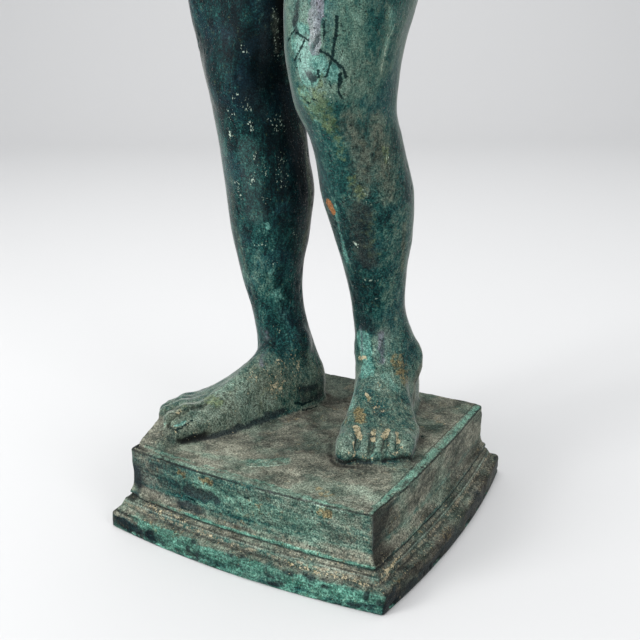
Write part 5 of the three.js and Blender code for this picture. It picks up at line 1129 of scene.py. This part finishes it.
    # bare metal
    u1 = patch(A["bare"], grain2, 0.5, 0.12, 0.5)
    col = k.mix(u1, col, k.mix(grain, (0.20, 0.070, 0.020), (0.52, 0.24, 0.09)))
    dark = k.step(k.math("ADD", k.math("MINIMUM", dist["D"], A["dark"]), k.math("ADD", k.math("MULTIPLY", k.math("SUBTRACT", grain, 0.5), 1.1), k.math("MULTIPLY", k.math("SUBTRACT", clot, 0.5), 1.2))), 0.32, -0.18)
    pale = k.step(k.math("ADD", k.math("MINIMUM", dist["P"], A["pale"]), k.math("MULTIPLY", k.math("SUBTRACT", grain2, 0.5), 1.4)), 0.2, -0.2)
    col = k.mix(k.math("MULTIPLY", pale, 0.6), col, (0.30, 0.37, 0.29))
    col = k.mix(k.math("MULTIPLY", dark, 0.93), col, (0.004, 0.012, 0.013))
    # thin dark lines along the plinth's mouldings and rim
    broken = k.step(mott, 0.36, 0.50)
    flat = k.new("ShaderNodeSeparateXYZ"); k.put(flat.inputs[0], k.vec("ADD", k.vec("SCALE", p, scale=0.75), k.vec("SCALE", pw, scale=0.25)))
    Zl = flat.outputs["Z"]
    def line(v, at, half):
        return k.step(k.math("ABSOLUTE", k.math("SUBTRACT", v, at)), half, half * 0.4)
    rims = k.math("MAXIMUM", k.math("MULTIPLY", line(Zl, 18.6, 0.75), 1.0), k.math("MAXIMUM", k.math("MULTIPLY", line(Zl, 46.6, 0.78), 1.0), k.math("MULTIPLY", line(Zl, 13.0, 0.5), 0.55)))
    rims = k.math("MULTIPLY", rims, k.math("MULTIPLY", k.math("ADD", 0.35, k.math("MULTIPLY", broken, 0.65)), notfig))
    ontop = k.math("MULTIPLY", k.step(Z, 46.6, 47.4), notfig)
    bevel = k.math("MULTIPLY", ontop, k.math("MULTIPLY", line(X, 71.6, 0.55), broken))
    band = k.math("MULTIPLY", ontop, k.math("MAXIMUM", k.step(X, 71.8, 72.8), k.math("MULTIPLY", k.step(Y, -75.8, -77.0), 0.8)))
    col = k.mix(k.math("MULTIPLY", band, k.step(k.mix(0.5, mott, clot), 0.38, 0.56, 0.12, 0.60)), col, k.mix(grain2, (0.050, 0.150, 0.115), (0.125, 0.265, 0.205)))
    col = k.mix(k.math("MULTIPLY", k.math("MAXIMUM", rims, k.math("MULTIPLY", bevel, 0.7)), 0.85), col, (0.010, 0.014, 0.014))
    # seams and crust along the moulding's foot
    seam = k.math("MULTIPLY", notfig, broken)
    col = k.mix(k.math("MULTIPLY", k.math("MULTIPLY", line(Zl, 16.5, 0.5), seam), 0.60), col, (0.012, 0.016, 0.015))
    col = k.mix(k.math("MULTIPLY", k.math("MULTIPLY", line(Zl, 15.6, 0.4), seam), 0.50), col, (0.180, 0.235, 0.195))
    crust = k.math("MULTIPLY", line(Zl, 14.1, 0.8), k.math("MULTIPLY", notfig, k.step(clot, 0.46, 0.56)))
    col = k.mix(k.math("MULTIPLY", crust, 0.65), col, k.mix(grain, (0.090, 0.080, 0.054), (0.310, 0.275, 0.195)))
    # fine dark and light grain over all; below it, painted shade in the deeper hollows
    coarse = k.math("MAXIMUM", notfig, k.step(Z, 110, 80))          # the feet and the plinth are grittier
    col = k.mix(1.0, col, k.step(grain, 0.30, 0.70, k.math("ADD", k.math("SUBTRACT", 0.54, k.math("MULTIPLY", coarse, 0.08)), k.math("MULTIPLY", calm, 0.16)), k.math("SUBTRACT", k.math("ADD", 1.48, k.math("MULTIPLY", coarse, 0.16)), k.math("MULTIPLY", calm, 0.18))), "MULTIPLY")
    sand = k.noise(p, 0.46, 1, 0.5, shift=14.2)
    col = k.mix(1.0, col, k.step(sand, 0.32, 0.68, k.math("ADD", 0.66, k.math("MULTIPLY", notfig, 0.08)), 1.36), "MULTIPLY")
    stain = k.noise(p, 15.0, 4, 0.6, stretch=(1.3, 1.3, 0.7), shift=17.3, warp=0.8)
    col = k.mix(k.math("MULTIPLY", notfig, 0.8), col, k.mix(1.0, col, k.step(stain, 0.34, 0.66, 0.62, 1.34), "MULTIPLY"))
    pits = k.step(k.noise(p, 1.25, 2, 0.5, shift=12.5), 0.70, 0.62)
    col = k.mix(k.math("MULTIPLY", k.math("SUBTRACT", 1.0, pits), 0.8), col, (0.006, 0.009, 0.010))
    # painted shade, near black, in the deeper hollows
    deep = k.step(A["hollow"], 0.28, 0.75)
    col = k.mix(k.math("MULTIPLY", deep, 0.8), col, (0.012, 0.013, 0.012))
    # cream flecks and deposits, whiter and greener on the legs
    legs = k.step(Z, 92, 108)
    lim = k.math("SUBTRACT", 0.76, k.math("MULTIPLY", A["cream"], 0.20))
    c1 = k.math("MULTIPLY", k.step(k.math("SUBTRACT", fleck, lim), -0.015, 0.02), k.step(A["cream"], 0.04, 0.2))
    solid = k.step(k.math("ADD", A["cream"], k.math("ADD", k.math("MULTIPLY", k.math("SUBTRACT", grain, 0.5), 0.9), k.math("MULTIPLY", k.math("SUBTRACT", clot, 0.5), 1.5))), 0.84, 1.0)
    c1 = k.math("MAXIMUM", c1, solid)
    col = k.mix(k.math("MULTIPLY", c1, 0.85), col, k.mix(k.step(k.math("ADD", grain, k.math("SUBTRACT", clot, 0.5)), 0.38, 0.62), k.mix(legs, (0.165, 0.145, 0.078), (0.160, 0.220, 0.165)), k.mix(legs, (0.480, 0.415, 0.270), (0.440, 0.540, 0.450))))
    k.put(bsdf.inputs["Base Color"], col)
    # metal under thin patina
    metal = k.math("MAXIMUM", k.math("MULTIPLY", k.math("SUBTRACT", 1.0, k.math("MAXIMUM", t1, g1)), 0.12), k.math("MULTIPLY", u1, 0.85), clamp=True)
    k.put(bsdf.inputs["Metallic"], k.math("MULTIPLY", metal, k.math("SUBTRACT", 1.0, k.math("MULTIPLY", dark, 0.9))))
    # roughness
    ro = k.math("ADD", 0.44, k.math("MULTIPLY", g1, 0.32))
    ro = k.math("ADD", ro, k.math("MULTIPLY", t1, 0.10))
    ro = k.math("ADD", ro, k.math("MULTIPLY", c1, 0.2))
    ro = k.math("ADD", ro, k.math("MULTIPLY", k.math("SUBTRACT", grain2, 0.5), 0.30))
    ro = k.math("ADD", ro, k.math("MULTIPLY", drawn, 0.20))
    ro = k.math("SUBTRACT", ro, k.math("ADD", k.math("MULTIPLY", v1, 0.14), k.math("MULTIPLY", A["smooth"], 0.14)))
    ro = k.math("MINIMUM", k.math("MAXIMUM", ro, 0.2), 0.92)
    k.put(bsdf.inputs["Roughness"], ro)
    k.put(bsdf.inputs["Specular IOR Level"], k.math("MULTIPLY", k.math("ADD", 0.06, k.math("MULTIPLY", k.math("MAXIMUM", k.math("MULTIPLY", v1, 0.6), A["smooth"]), 0.45)), k.math("SUBTRACT", 1.0, k.math("MULTIPLY", dark, 0.9))))
    # dust and old wax, which show at glancing angles
    k.put(bsdf.inputs["Sheen Weight"], k.math("MULTIPLY", k.math("ADD", 0.12, k.math("MULTIPLY", fig, 0.55)), k.math("SUBTRACT", 1.0, k.math("MULTIPLY", dark, 0.85))))
    bsdf.inputs["Sheen Roughness"].default_value = 0.28
    bsdf.inputs["Sheen Tint"].default_value = (0.86, 0.85, 0.80, 1.0)
    # height of the grain, in millimetres
    h = k.math("MULTIPLY", grain2, 0.22)
    h = k.math("ADD", h, k.math("MULTIPLY", grain, 0.16))
    h = k.math("ADD", h, k.math("MULTIPLY", drawn, 0.16))
    h = k.math("ADD", h, k.math("MULTIPLY", pits, 0.25))
    bump = k.new("ShaderNodeBump")
    bump.inputs["Strength"].default_value, bump.inputs["Distance"].default_value = 0.75, 0.001
    k.put(bump.inputs["Height"], h)
    k.put(bsdf.inputs["Normal"], bump.outputs["Normal"])
    return mat

me.materials.clear()
me.materials.append(patina())
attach(body, "root")
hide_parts(NODE)

# ------------------------------------------------------------------ floor and light
def area(name, at, to, size, power, colour=(1, 1, 1)):
    li = bpy.data.lights.new(name, "AREA")
    li.shape, li.size, li.size_y, li.energy, li.color = "RECTANGLE", size[0], size[1], power, colour
    o = bpy.data.objects.new(name, li)
    o.location = at
    o.rotation_mode = "QUATERNION"
    o.rotation_quaternion = (Vector(to) - Vector(at)).to_track_quat("-Z", "Y")
    bpy.context.scene.collection.objects.link(o)

def floor():
    """A pale sheet that turns up into a backdrop far behind."""
    prof = [(-4.0, 0.0), (0.0, 0.0), (1.9, 0.0)] + [(1.9 + 1.2 * math.sin(math.radians(t)), 1.2 - 1.2 * math.cos(math.radians(t))) for t in range(6, 91, 6)] + [(3.1, 4.5)]
    turn = math.radians(AZIMUTH)
    vs = [(s * math.cos(turn) - y * math.sin(turn), s * math.sin(turn) + y * math.cos(turn), z) for y, z in prof for s in (-5, 5)]
    fs = [(2 * i, 2 * i + 1, 2 * i + 3, 2 * i + 2) for i in range(len(prof) - 1)]
    m = bpy.data.meshes.new("floor"); m.from_pydata(vs, [], fs); m.update()
    for q in m.polygons: q.use_smooth = True
    o = bpy.data.objects.new("floor", m)
    bpy.context.scene.collection.objects.link(o)
    mat = bpy.data.materials.new("pale_floor"); mat.use_nodes = True
    b = mat.node_tree.nodes["Principled BSDF"]
    b.inputs["Base Color"].default_value = (0.61, 0.61, 0.61, 1)
    b.inputs["Roughness"].default_value = 0.7
    b.inputs["Specular IOR Level"].default_value = 0.2
    o.data.materials.append(mat)
    return o

bpy.context.scene.view_settings.view_transform = "Standard"
floor()
w = bpy.data.worlds.new("studio"); w.use_nodes = True
w.node_tree.nodes["Background"].inputs["Color"].default_value = (0.95, 0.97, 1.0, 1)
w.node_tree.nodes["Background"].inputs["Strength"].default_value = 0.60
bpy.context.scene.world = w
area("key", (-0.75, -1.15, 0.60), (0, 0, 0.18), (0.5, 0.9), 20)
area("top", (-0.1, 0.1, 1.7), (0, 0, 0.1), (1.2, 1.2), 19)
area("fill", (1.35, -0.55, 0.8), (0, 0, 0.15), (0.6, 0.9), 8)
area("backdrop", (-0.60, 1.05, 2.3), (-1.50, 2.62, 0.9), (3.0, 0.8), 27)
